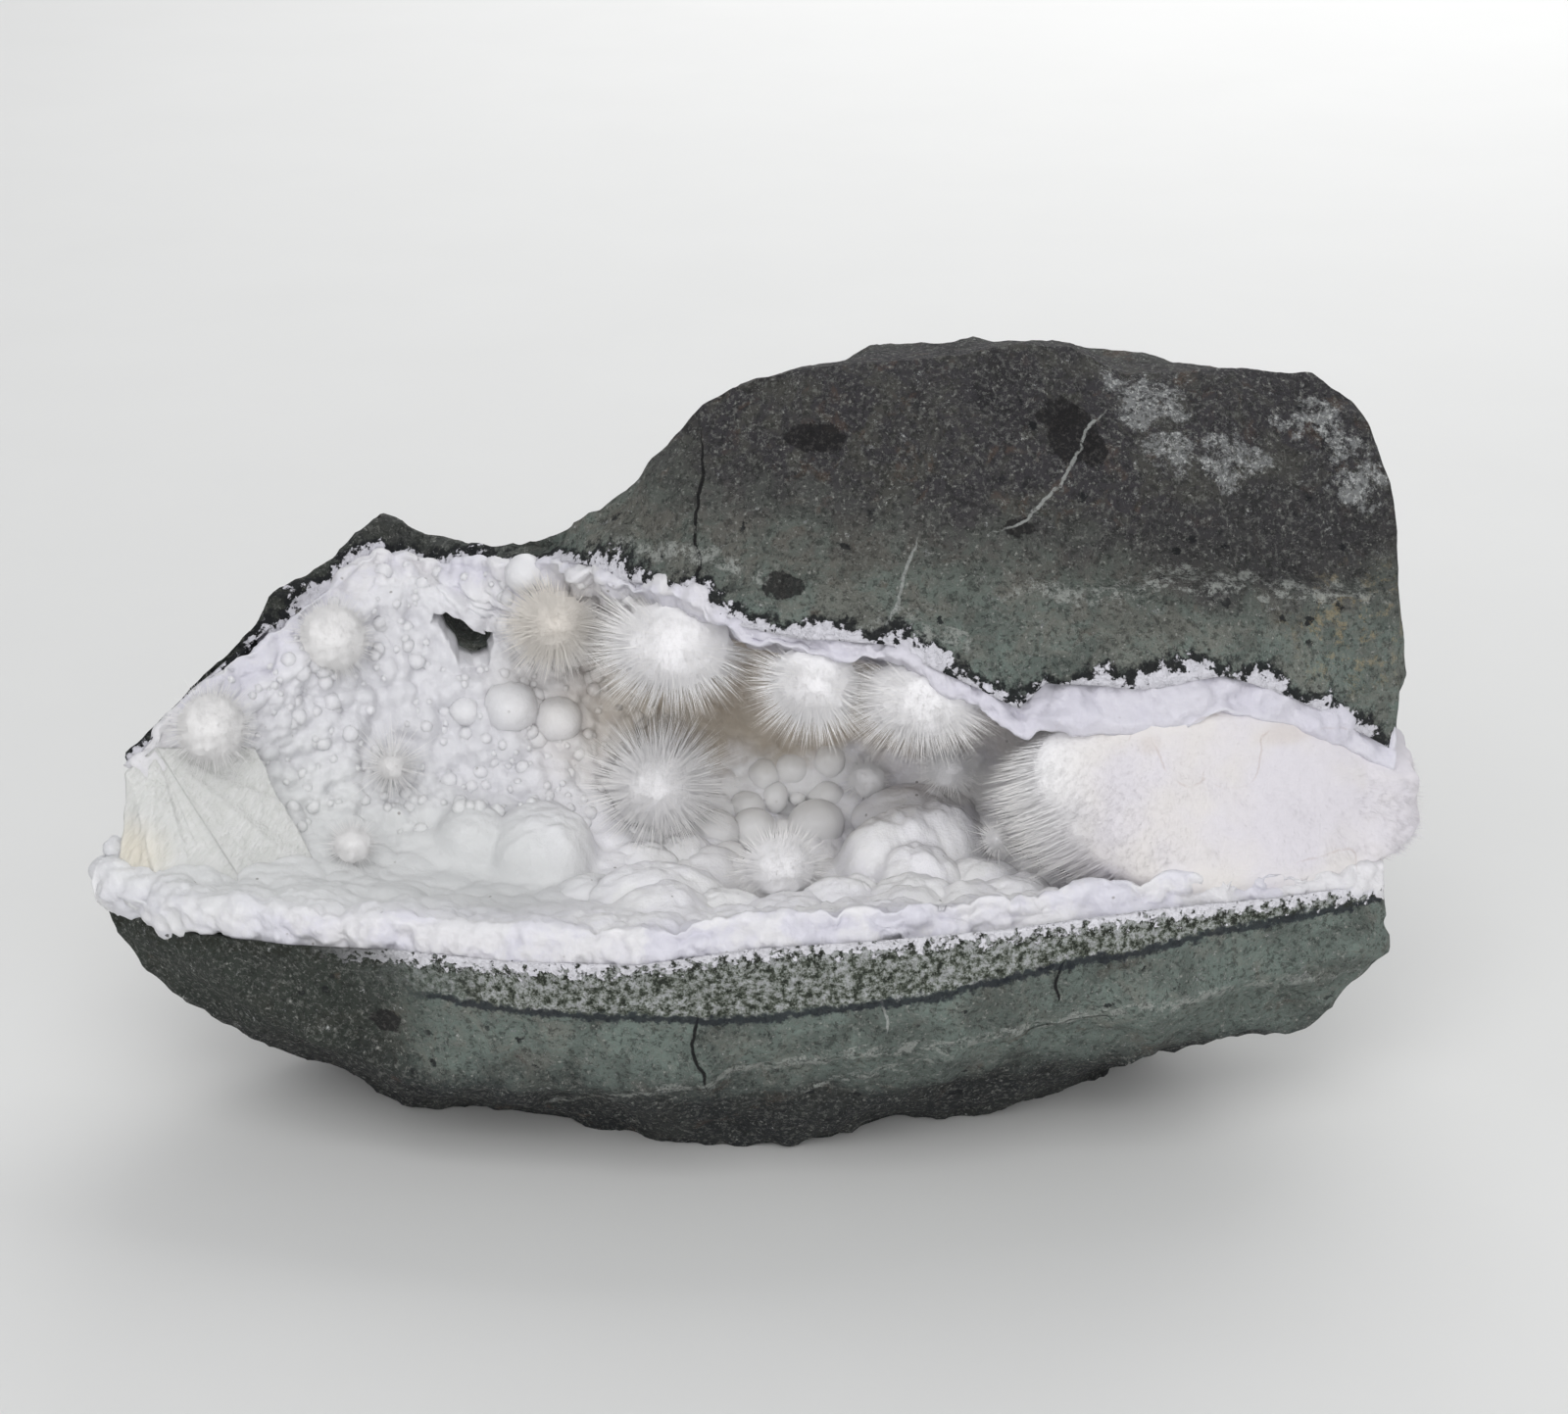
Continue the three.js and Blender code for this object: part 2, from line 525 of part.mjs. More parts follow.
/** Ball of needles: each face of a rounded polyhedron that is free of the crust has one. */
function spinyGeometry(place, needle, isSmall) {
  const sphere = isSmall
    ? new THREE.OctahedronGeometry(1, 1) : new THREE.IcosahedronGeometry(1, 1);
  const corners = sphere.attributes.position;
  const positions = [];
  for (let face = 0; face < corners.count; face += 3) {
    const base = [0, 1, 2].map((k) => new THREE.Vector3().fromBufferAttribute(corners, face + k));
    const middle = base[0].clone().add(base[1]).add(base[2]).normalize();
    const root = place(middle);
    const tip = root.clone().addScaledVector(middle, needle(middle));
    const [a, b, c] = base.map((p) => place(p));
    const least = Math.min(standOff(root), standOff(tip));
    const isFree = least > NEEDLE_CLEARANCE && needle(middle) > 0;
    const faces = isFree ? [[a, b, tip], [b, c, tip], [c, a, tip]] : [[a, b, c]];
    for (const triangle of faces) {
      positions.push(...triangle.flatMap((p) => p.toArray()));
    }
  }
  const geometry = new THREE.BufferGeometry();
  geometry.setAttribute('position', new THREE.Float32BufferAttribute(positions, 3));
  return geometry;
}

/** One puffball, or the socket for it: its bare core, swollen by `grow`. */
function puffball({ at, core, tips }, grow) {
  const place = (n) => new THREE.Vector3(
    at[0] + n.x * (core[0] + grow), at[1] + n.y * (core[1] + grow), at[2] + n.z * (core[2] + grow));
  const needle = () => (grow ? 0 : tips);
  return solidOf(spinyGeometry(place, needle, core[0] < SMALL_BALL));
}

/** A blunt ball: each direction is stretched towards a box by `squareness`. */
function greatBall(grow) {
  const { at, radii, squareness, tips, tipsBelowX } = GREAT_BALL;
  const blunt = (value) => Math.sign(value) * Math.abs(value) ** squareness;
  const place = (n) => new THREE.Vector3(
    at[0] + blunt(n.x) * (radii[0] + grow),
    at[1] + blunt(n.y) * (radii[1] + grow),
    at[2] + blunt(n.z) * (radii[2] + grow));
  const needle = (n) => (!grow && place(n).x < tipsBelowX ? tips : 0);
  return solidOf(spinyGeometry(place, needle, false));
}

// ---- Assembly ------------------------------------------------------------------------

function stone(colour, roughness) {
  return new THREE.MeshStandardMaterial({ color: colour, roughness, metalness: 0 });
}

/** Puffballs by name, each a function of how much its socket is wider than it is. */
function puffballs() {
  const grown = Object.entries(PUFFBALLS).map(([name, balls]) => [
    name, (grow) => balls.map((b) => puffball(b, grow)).reduce((a, b) => a.add(b))]);
  return [...grown, ['puffball_great', greatBall]];
}

function buildSpecimen() {
  const specimen = new THREE.Group();
  const opening = hole();
  const bedrock = bed();
  const seats = seat().add(bedrock);
  let crust = crustBody().subtract(bedrock).subtract(opening);
  const okenite = stone(COLOURS.okenite, 0.9);
  for (const [name, grownBy] of puffballs()) {
    specimen.add(meshOf(name, grownBy(0).subtract(seats), okenite));
    crust = crust.subtract(grownBy(SEAM));
  }
  const basalt = solidOf(basaltGeometry()).subtract(opening);
  specimen.add(meshOf('basalt', basalt, stone(COLOURS.basalt, 0.85)));
  specimen.add(meshOf('crust', crust, stone(COLOURS.crust, 0.6)));
  specimen.position.copy(CENTRE).negate();
  return specimen;
}

export default buildSpecimen();
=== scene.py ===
# %% [markdown]
# # Okenite puffballs in a broken basalt hollow
# A loose piece of basalt was broken through one of its gas hollows. A white crust of lumps
# lines the hollow, and on the crust grow balls of okenite: thousands of needles finer than
# hair. The rock, the crust and each ball are separate pieces here, made as numpy surfaces
# around the frame, which holds their real places and sizes.

# %% Load the frame
import itertools
import math

import bpy
import numpy as np
from mathutils.kdtree import KDTree
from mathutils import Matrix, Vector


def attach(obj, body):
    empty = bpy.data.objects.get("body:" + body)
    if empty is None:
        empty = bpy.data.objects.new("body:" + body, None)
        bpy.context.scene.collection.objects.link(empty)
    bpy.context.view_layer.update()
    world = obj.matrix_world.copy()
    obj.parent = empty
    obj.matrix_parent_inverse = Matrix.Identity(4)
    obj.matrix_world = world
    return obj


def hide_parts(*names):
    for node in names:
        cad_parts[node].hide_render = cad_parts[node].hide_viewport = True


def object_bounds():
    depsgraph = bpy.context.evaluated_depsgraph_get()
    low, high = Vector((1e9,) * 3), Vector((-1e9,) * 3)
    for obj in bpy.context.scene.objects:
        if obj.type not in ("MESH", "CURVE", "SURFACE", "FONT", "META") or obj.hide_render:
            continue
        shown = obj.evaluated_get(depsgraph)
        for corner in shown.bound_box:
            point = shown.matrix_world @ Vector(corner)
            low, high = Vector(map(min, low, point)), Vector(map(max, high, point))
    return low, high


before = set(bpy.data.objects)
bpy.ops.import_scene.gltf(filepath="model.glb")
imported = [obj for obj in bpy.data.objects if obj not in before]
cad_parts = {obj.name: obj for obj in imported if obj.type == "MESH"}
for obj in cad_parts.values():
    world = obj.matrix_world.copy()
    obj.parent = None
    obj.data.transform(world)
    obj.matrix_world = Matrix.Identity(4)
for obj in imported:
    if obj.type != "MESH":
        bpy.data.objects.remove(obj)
CAD_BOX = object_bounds()
MM = 0.001
CENTRE = np.array([-0.9, 0.25, 0.0])  # middle of the drawing, which lies at the origin
print("nodes:", sorted(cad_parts))

# %% [markdown]
# ## Camera, floor and light
# The specimen is seen from a little above, with a long lens, as a collector sees it on a
# shelf. A pale floor and four large soft lamps keep the shadows open. Large lamps are
# used and not the sun, because small lumps need a light with a soft edge to look round.

# %% Camera
CAMERA_AT = np.array([2.45, -401.2, 205.9])
LOOKING_DOWN = math.radians(22)
LENS = 85.5
SENSOR = 36.0

camera = bpy.data.objects.new("camera", bpy.data.cameras.new("camera"))
camera.data.lens = LENS
camera.data.sensor_width = SENSOR
camera.data.sensor_fit = "HORIZONTAL"
camera.location = (CAMERA_AT - CENTRE) * MM
camera.rotation_euler = (math.pi / 2 - LOOKING_DOWN, 0, 0)
bpy.context.scene.collection.objects.link(camera)
bpy.context.scene.camera = camera

# %% Lamps and world
LAMPS = {  # place in metres, size in metres, power in watts
    "key": ((-0.20, -0.84, 0.48), 0.8, 3.0),
    "fill": ((0.32, -0.88, 0.16), 0.9, 3.3),
    "top": ((0.0, -0.50, 0.80), 0.6, 2.3),
    "back": ((0.2, 0.7, 0.55), 0.8, 5.0),
}
AIM = np.array([0.0, 0.0, 0.04])


def add_lamp(name, place, size, power):
    """A square lamp that looks at the middle of the specimen."""
    lamp = bpy.data.lights.new(name, "AREA")
    lamp.size = size
    lamp.energy = power
    holder = bpy.data.objects.new(name, lamp)
    holder.location = place
    away = np.array(place) - AIM
    tilt = math.atan2(math.hypot(away[0], away[1]), away[2])
    turn = math.atan2(away[0], -away[1])
    holder.rotation_euler = (tilt, 0, turn)
    bpy.context.scene.collection.objects.link(holder)


for lamp_name, (place, size, power) in LAMPS.items():
    add_lamp(lamp_name, place, size, power)

world = bpy.data.worlds.new("studio")
world.use_nodes = True
world.node_tree.nodes["Background"].inputs["Color"].default_value = (0.9, 0.92, 0.95, 1)
world.node_tree.nodes["Background"].inputs["Strength"].default_value = 0.34
bpy.context.scene.world = world
bpy.context.scene.view_settings.view_transform = "Standard"

# %% [markdown]
# ## Shader maths
# Materials are easier to read as sums than as drawings of nodes. A `Value` wraps one
# socket, and an expression such as `1 - mask * 0.4` adds the Math nodes for it. A `Paint`
# is a material, whose colour is built up in layers: each has a mask and one more colour.

# %% Sockets as numbers
class Value:
    """One output socket of a material, which takes part in Python expressions."""

    def __init__(self, paint, socket):
        self.paint = paint
        self.socket = socket

    def math(self, operation, *inputs):
        """A Math node on numbers or sockets."""
        return self.paint.node("ShaderNodeMath", {"operation": operation}, dict(enumerate(inputs)))

    def __abs__(self):
        return self.math("ABSOLUTE", self)

    def __add__(self, other):
        return self.math("ADD", self, other)

    def __sub__(self, other):
        return self.math("SUBTRACT", self, other)

    def __rsub__(self, other):
        return self.math("SUBTRACT", other, self)

    def __mul__(self, other):
        return self.math("MULTIPLY", self, other)

    __radd__ = __add__
    __rmul__ = __mul__

    def between(self, low, high):
        """0 below `low`, 1 above `high` and a smooth rise between; `low` may be the larger."""
        return self.paint.node(
            "ShaderNodeMapRange", {"interpolation_type": "SMOOTHSTEP", "clamp": True},
            {"Value": self, "From Min": low, "From Max": high})

    def ramp(self, *stops):
        """A colour for each value, between stops of a value and its colour."""
        return self.paint.node("ShaderNodeValToRGB", {"stops": stops}, {"Fac": self})

    def mix(self, first, second):
        """Colour `first` where this is 0 and `second` where it is 1."""
        first, second = (c if isinstance(c, Value) else (*c, 1) for c in (first, second))
        return self.paint.node("ShaderNodeMix", {"data_type": "RGBA"},
                               {0: self, 6: first, 7: second}, 2)

    def part(self, axis):
        """One of the three numbers of a vector."""
        return self.paint.node("ShaderNodeSeparateXYZ", None, {0: self}, axis)

    def vector(self, operation, *others, output=0, **named):
        """A Vector Math node on this socket and other vectors."""
        return self.paint.node("ShaderNodeVectorMath", {"operation": operation},
                               {**dict(enumerate((self, *others))), **named}, output)

    def moved(self, by, amount):
        """A vector pushed by a noise colour, up to about half of `amount` each way."""
        return self.vector("ADD", by.vector("SUBTRACT", (0.5, 0.5, 0.5)).vector(
            "SCALE", Scale=amount))

    def distance(self, point, stretch=(1, 1, 1)):
        """Distance from a point in millimetres, with each axis stretched."""
        away = self.vector("SUBTRACT", point).vector("MULTIPLY", stretch)
        return away.vector("LENGTH", output="Value")

    def noise(self, size, detail=3, roughness=0.55, output="Fac"):
        """Soft noise from 0 to 1 whose blotches are about `size` millimetres."""
        return self.paint.node("ShaderNodeTexNoise", None, {
            "Vector": self, "Scale": 1 / size, "Detail": detail, "Roughness": roughness}, output)

    def specks(self, size):
        """Distance from the nearest of many scattered points, in parts of their spacing."""
        return self.paint.node("ShaderNodeTexVoronoi", None, {"Vector": self, "Scale": 1 / size})


# %% Paint
class Paint:
    """A material with a Principled shader at the end, and the colour that it has so far."""

    def __init__(self, name, **constants):
        self.material = bpy.data.materials.new(name)
        self.material.use_nodes = True
        self.tree = self.material.node_tree
        self.shader = self.tree.nodes["Principled BSDF"]
        self.colour = None
        for socket, value in constants.items():
            self.shader.inputs[socket.replace("_", " ")].default_value = value

    def node(self, kind, settings=None, inputs=None, output=0):
        """Adds a node: its settings first, a ramp's stops too, then its sockets."""
        made = self.tree.nodes.new(kind)
        for key, value in (settings or {}).items():
            if key == "stops":
                self._stops(made.color_ramp, value)
            else:
                setattr(made, key, value)
        for key, value in (inputs or {}).items():
            if isinstance(value, Value):
                self.tree.links.new(value.socket, made.inputs[key])
            else:
                made.inputs[key].default_value = value
        return Value(self, made.outputs[output])

    @staticmethod
    def _stops(ramp, stops):
        while len(ramp.elements) < len(stops):
            ramp.elements.new(0.5)
        for element, (place, colour) in zip(ramp.elements, stops):
            element.position = place
            element.color = (*colour, 1)

    def place(self):
        """Object coordinates in millimetres."""
        return self.node("ShaderNodeTexCoord", output="Object").vector("SCALE", Scale=1000.0)

    def attribute(self, name):
        return self.node("ShaderNodeAttribute", {"attribute_name": name}, output="Fac")

    def layer(self, mask, colour):
        """Lays one more colour over those before it, as far as the mask says."""
        self.colour = mask.mix(self.colour, colour)

    def stroke(self, name, half_width, wander=0.0, soft=0.06):
        """A painted line: 1 within `half_width` millimetres of the line stored as `name`."""
        side = abs(self.attribute(name) + wander)
        return (side + (self.attribute(name + "_loss") - 1) * half_width).between(soft, -soft)

    def feed(self, socket, value):
        self.tree.links.new(value.socket, self.shader.inputs[socket])

    def finish(self, height, strength, depth):
        """Feeds the colour, and fine relief `depth` metres high, to the shader."""
        self.feed("Base Color", self.colour)
        self.feed("Normal", self.node("ShaderNodeBump", None, {
            "Height": height, "Strength": strength, "Distance": depth}, "Normal"))
        print(f"{self.material.name}: {len(self.tree.nodes)} nodes")


# %% [markdown]
# The floor is a plain square in a pale tone that is hardly uneven. It belongs to the stage
# and not to the specimen, so it is not attached to the body that the pieces ride on.

# %% Floor
FLOOR_HALF = 3.0  # metres

floor_paint = Paint("pale_floor", Roughness=0.9)
floor_paint.feed("Base Color", floor_paint.place().noise(40).mix(
    (0.74, 0.74, 0.73), (0.77, 0.77, 0.76)))
corners = [(FLOOR_HALF * x, FLOOR_HALF * y, 0) for x, y in ((-1, -1), (1, -1), (1, 1), (-1, 1))]
floor_mesh = bpy.data.meshes.new("floor")
floor_mesh.from_pydata(corners, [], [(0, 1, 2, 3)])
floor = bpy.data.objects.new("floor", floor_mesh)
floor.data.materials.append(floor_paint.material)
bpy.context.scene.collection.objects.link(floor)

# %% [markdown]
# ## Noise and chips
# Broken rock and mineral lumps are irregular, but the same on every run. Each pattern is
# worked out from whole-number hashes of the place, so it needs no stored random numbers.

# %% Noise
AXIS_PRIMES = (73856093, 19349663, 83492791)
SALT_PRIME = 2654435761
MIXING = ((15, 2246822519), (13, 3266489917))  # how far to shift, and what to multiply by
WORD = 0xFFFFFFFF  # the lowest 32 bits


def hashed(cells, salt):
    """Even numbers from 0 to 1 for whole-number cells: a mixed product of their places."""
    mixed = salt * SALT_PRIME
    for axis, prime in enumerate(AXIS_PRIMES):
        mixed = mixed ^ (cells[..., axis].astype(np.int64) * prime)
    mixed = mixed & WORD
    for shift, prime in MIXING:
        mixed = ((mixed ^ (mixed >> shift)) * prime) & WORD
    return ((mixed ^ (mixed >> 16)) & 0xFFFFFF) / 0x1000000


def ease(t):
    return t * t * (3 - 2 * t)


def rise(value, low, high):
    """0 below low, 1 above high, with a smooth rise between."""
    return ease(np.clip((value - low) / (high - low), 0, 1))


def blotches(points, size, salt=0):
    """Value noise from -1 to 1: hashed corners of cubes of `size`, eased between them."""
    scaled = points / size
    base = np.floor(scaled)
    part = ease(scaled - base)
    total = np.zeros(points.shape[:-1])
    for corner in np.ndindex(2, 2, 2):
        weight = np.prod(np.where(corner, part, 1 - part), axis=-1)
        total += weight * hashed(base + corner, salt)
    return 2 * total - 1


def rough(points, size, octaves=4, salt=0):
    """Sum of blotches, each octave half the size and half the height of the one before."""
    return sum(
        blotches(points, size / 2 ** k, salt + k) / 2 ** k for k in range(octaves)
    ) / (2 - 2 ** (1 - octaves))


print("roughness at one point:", rough(np.ones((1, 3)), 5)[0].round(3))

# %% Pebbles and flakes
def pebbles(points, size, salt=0, fill=0.62):
    """Tops of balls packed at random: each cube of `size` holds one ball near its middle.

    The height over a point is the root of radius squared less distance squared, for the
    ball where that is greatest, so touching balls meet in sharp creases.
    """
    scaled = points / size
    base = np.floor(scaled)
    best = np.zeros(points.shape[:-1])
    for step in np.ndindex(3, 3, 3):
        cell = base + np.array(step) - 1
        middle = cell + 0.5 + 0.7 * (np.stack(
            [hashed(cell, salt + k) for k in (11, 12, 13)], axis=-1) - 0.5)
        radius = fill * (0.55 + 0.6 * hashed(cell, salt + 14))
        left = radius ** 2 - np.sum((scaled - middle) ** 2, axis=-1)
        best = np.maximum(best, np.sqrt(np.maximum(left, 0)))
    return best * size


def flakes(points, size, salt=0, tilt=0.45, curve=0.52):
    """Small chips: the lowest of tilted shallow bowls, one in each cube of `size`."""
    scaled = points / size
    base = np.floor(scaled)
    lowest = np.full(points.shape[:-1], 9.0)
    for step in np.ndindex(3, 3, 3):
        cell = base + np.array(step) - 1
        draws = [hashed(cell, salt + k) - 0.5 for k in range(7)]
        away = scaled - (cell + 0.5 + 0.8 * np.stack(draws[:3], axis=-1))
        slope = 2 * tilt * np.sum(away * np.stack(draws[3:6], axis=-1), axis=-1)
        bowl = 0.3 * draws[6] + slope + curve * np.sum(away ** 2, axis=-1)
        lowest = np.minimum(lowest, bowl)
    return lowest * size


# %% Large chips, the same as in the solid
CHIPS = {"count": 300, "seed": 11, "corner": [-78, -42, -4], "room": [156, 84, 94],
         "tilt": 0.26, "curve": 0.017, "spread": 2, "mean": 1.1, "depth": 2.6}


FACTOR, STEP, STATES = 1664525, 1013904223, 4294967296


def draws_from(seed, count):
    """`count` numbers from 0 to 1: each state is the one before times FACTOR, plus STEP."""
    numbers = np.empty(count)
    state = seed
    for k in range(count):
        state = (state * FACTOR + STEP) % STATES
        numbers[k] = state / STATES
    return numbers


chip_draws = draws_from(CHIPS["seed"], 7 * CHIPS["count"]).reshape(-1, 7)
CHIP_SITES = np.array(CHIPS["corner"]) + np.array(CHIPS["room"]) * chip_draws[:, :3]
CHIP_SLOPES = (chip_draws[:, 3:6] - 0.5) * 2 * CHIPS["tilt"]
CHIP_LEVELS = CHIPS["spread"] * chip_draws[:, 6]


def chip_depth(points):
    """Depth of the large chips: the lowest of many tilted bowls, so ridges are sharp."""
    flat = points.reshape(-1, 3)
    lowest = np.full(len(flat), np.inf)
    for site, slope, level in zip(CHIP_SITES, CHIP_SLOPES, CHIP_LEVELS):
        away = flat - site
        bowl = level + away @ slope + CHIPS["curve"] * np.sum(away ** 2, axis=1)
        np.minimum(lowest, bowl, out=lowest)
    depth = np.clip(lowest - CHIPS["mean"], -CHIPS["depth"], CHIPS["depth"])
    return depth.reshape(points.shape[:-1])


print("chip depth at the middle:", chip_depth(np.zeros((1, 3)))[0].round(2), "mm")

# %% [markdown]
# ## Rails
# The rock has no axis to spin it round and no flat sides, so its shape is held by rails:
# lines that run along the specimen from left to right. Each cross-section passes through
# all of them in turn. Rails that follow a broken edge are straight between their points,
# and worn or hidden ones are rounded.

# %% Rails, in millimetres
RAILS = {
    "lowerLip": [
        [-75, -14, 25], [-70, -19, 25], [-63.5, -24, 26], [-51.5, -30, 27.5], [-40.5, -33, 28.5],
        [-27.5, -36, 28.5], [-13.5, -38, 29], [-0.5, -38, 31], [13, -37, 31.5], [27, -34, 31.5],
        [43.5, -30, 32], [57, -26, 31.5], [69.5, -20, 30.5]],
    "floorFront": [
        [-74, -11.5, 27], [-66, -18, 26], [-55, -23, 25.5], [-40, -26, 25.5], [-27, -28, 25],
        [0, -29.5, 26], [25, -28, 26.5], [45, -23, 27], [58, -19, 27.5], [70, -14, 28]],
    "floorBack": [
        [-73, -9.5, 30], [-55, -13, 26], [-40, -13, 24], [-27, -12, 23], [0, -10, 22],
        [25, -10, 22], [45, -8, 24], [58, -6.5, 25.5], [70.5, -5, 27]],
    "wallLow": [
        [-72.5, -9, 33], [-55, -5, 31], [-40, -1, 29.5], [-27, 1, 29], [0, 8, 24], [25, 8, 24],
        [45, 6, 27], [58, 3.5, 28.5], [70.5, 1, 30]],
    "wallHigh": [
        [-72, -9.5, 36], [-55, -1, 39], [-40, 5.5, 41], [-27, 8, 42], [0, 14, 37], [25, 13, 36],
        [45, 9, 37], [58, 6, 37], [70.5, 2, 36.5]],
    "roof": [
        [-71.5, -11, 39.5], [-55, 1, 47], [-42, 9.5, 51], [-27, 10.5, 52], [-12, 8, 54],
        [5, 7, 51.5], [25, 5, 48.5], [45, 2, 47], [58, 0, 46], [71, -3, 42]],
    "upperLip": [
        [-71, -13, 42.5], [-66, -8, 48], [-60.5, -3, 51.5], [-56.5, 1, 53.5], [-50.5, 7, 56],
        [-46, 12, 58.5], [-40.5, 14, 56.5], [-32, 10, 58], [-24.5, 4, 60.5], [-20, 0, 61.5],
        [-15.5, -4, 61], [-8.5, -9, 61.5], [-2, -13, 58.5], [5.5, -15, 58], [14.5, -17, 58],
        [21, -18, 54.5], [28.5, -19, 51], [31.5, -19, 54], [43.5, -18, 53.5], [51.5, -17, 54.5],
        [59.5, -15, 51], [71.5, -12, 43.5]],
    "ledgeEdge": [
        [-71.5, -12.7, 42.7], [-56, 2.5, 54.8], [-50.2, 8.5, 57], [-45.5, 14, 60],
        [-40.7, 16, 57.5], [-34, 13, 58], [-26, 8, 61], [-19.5, 2, 63.5], [-8, -6, 66],
        [5, -10, 64.5], [16, -12, 63.5], [28.5, -13, 62.5], [46, -12, 63.5], [71.5, -8, 60]],
    "ledgeBack": [
        [-71.7, -12.4, 42.8], [-56, 3, 55.2], [-50.2, 9.2, 57.5], [-45.3, 15, 60.3],
        [-40.8, 16.7, 57.6], [-35, 14.5, 58], [-27, 9.5, 61], [-19.5, 3.5, 64.5], [-8, -4, 68],
        [5, -8.5, 67], [16, -10.5, 66], [28.5, -11, 65], [46, -8.5, 65], [71.5, -5, 62]],
    "brow": [
        [-71.8, -12.2, 42.9], [-55.8, 4, 55.7], [-50, 10, 57.8], [-45.1, 16, 60.4],
        [-40.9, 17.3, 57.2], [-36, 16, 57.2], [-28, 11, 60.5], [-19.5, 4.8, 65], [-9, -0.5, 74],
        [2, -2, 76.5], [16, -4, 77], [35, -4, 76.5], [50, -3.5, 75], [71, -1, 71.5]],
    "crest": [
        [-72, -12, 43], [-66.5, -5, 48], [-61, 0, 52], [-55.5, 5, 56], [-50, 11, 58],
        [-45, 17, 60.5], [-41, 18, 56.5], [-36, 17, 56.5], [-28.5, 12, 59.5], [-24, 9, 60.5],
        [-19.5, 6, 64], [-13.5, 4, 71], [-7, 3, 80], [-0.5, 2, 83.5], [15.5, 2, 85], [29, 3, 86.5],
        [35, 4, 86], [41.5, 4, 83.5], [54, 6, 82.5], [63, 7, 82.5], [67.5, 6, 79.5]],
    "crestBack": [
        [-71.5, -9, 41], [-60, 5, 49], [-50, 16, 55], [-44, 22, 57], [-36, 22, 54], [-28, 19, 57],
        [-19, 16, 61], [-12, 17, 68], [-4, 18, 77], [15, 19, 81], [30, 20, 81], [45, 20, 79],
        [65, 15, 75]],
    "backHigh": [
        [-71.5, -5, 36], [-55, 11, 43], [-42, 22, 46], [-27, 27, 48], [-5, 31, 60], [15, 33, 63],
        [35, 32, 61], [52, 26, 56], [69, 13, 52]],
    "backLow": [
        [-71.5, -4, 30], [-55, 9, 25], [-42, 22, 22], [-20, 33, 22], [0, 37, 25], [15, 38, 26],
        [35, 35, 26], [52, 25, 26], [70, 8, 30]],
    "footBack": [
        [-73, -8, 23], [-62, -2, 12], [-52, 3, 4], [-46, 7, 0], [-25, 18, 0], [0, 24, 0],
        [20, 23, 0], [36, 14, 0], [41, 10, 0.5], [46, 6, 4], [58, -2, 12], [70.5, -8, 23]],
    "footFront": [
        [-74.5, -13, 22.5], [-71, -14, 17.5], [-65.5, -14, 12.5], [-60, -13, 8.5], [-52, -9.5, 3],
        [-47.5, -8.5, 0], [-41.5, -15, 0], [-30.5, -16, 0], [-22.5, -18, 0], [-15.5, -21.5, 0],
        [-10, -25, 0], [2.5, -26, 0], [8, -25, 0], [11.5, -22, 0], [17, -19, 0], [26.5, -18, 0],
        [34.5, -13, 0], [38.5, -10.5, 0], [43, -10, 2], [51.5, -14, 7], [58, -17, 10],
        [63.5, -19, 13.5], [67.5, -20, 18.5], [70.5, -19, 22]],
    "breakLow": [
        [-74.7, -14, 23.7], [-70, -18, 21.5], [-65, -22, 20.5], [-53.5, -27, 16.5], [-44, -30, 13],
        [-28, -34, 11.5], [-6.5, -36, 13.5], [14, -36, 18], [28.5, -34, 17.5], [43.5, -31, 19.5],
        [56, -27, 21.5], [66, -23, 23], [70, -20, 27]],
}
SMOOTH_RAILS = {"floorFront", "floorBack", "wallLow", "wallHigh", "roof", "crestBack",
                "backHigh", "backLow"}
print(len(RAILS), "rails,", sum(map(len, RAILS.values())), "points")

# %% Curves through the rails
def through(knots, values, at, roundness=1.0):
    """Curve through `values` at `knots`.

    Straight from knot to knot, moved by `roundness` towards the cubic whose slope at each
    knot is that of the line from the knot before it to the knot after it.
    """
    knots, values, at = (np.asarray(a, float) for a in (knots, values, at))
    column = (-1,) + (1,) * (values.ndim - 1)
    order = np.arange(len(knots))
    before, after = np.maximum(order - 1, 0), np.minimum(order + 1, len(knots) - 1)
    slope = (values[after] - values[before]) / (knots[after] - knots[before]).reshape(column)
    i = np.clip(np.searchsorted(knots, at, side="right") - 1, 0, len(knots) - 2)
    span = (knots[i + 1] - knots[i]).reshape(column)
    s = (at - knots[i]).reshape(column) / span
    straight = values[i] + (values[i + 1] - values[i]) * s
    curved = ((2 * s ** 3 - 3 * s ** 2 + 1) * values[i]
              + (s ** 3 - 2 * s ** 2 + s) * span * slope[i]
              + (3 * s ** 2 - 2 * s ** 3) * values[i + 1]
              + (s ** 3 - s ** 2) * span * slope[i + 1])
    return straight + (curved - straight) * np.asarray(roundness, float).reshape(
        column if np.ndim(roundness) else ())


def rail(name, u):
    """Points of a rail: x runs evenly from its left end (u 0) to its right end (u 1)."""
    points = np.array(RAILS[name], float)
    x = points[0, 0] + (points[-1, 0] - points[0, 0]) * u
    roundness = 1.0 if name in SMOOTH_RAILS else 0.0
    side = through(points[:, 0], points[:, 1:], np.clip(x, points[0, 0], points[-1, 0]), roundness)
    return np.column_stack([x, side])


# %% Cavity wall
CAVITY = {"lowerLip": 0, "floorFront": 0.1, "floorBack": 0.28, "wallLow": 0.46,
          "wallHigh": 0.63, "roof": 0.8, "upperLip": 1}


def cavity(u, v):
    """Cavity wall as a grid of points: u along the rock, v from lower lip 0 to upper lip 1."""
    rails = np.stack([rail(name, u) for name in CAVITY])
    return through(list(CAVITY.values()), rails, v).transpose(1, 0, 2)


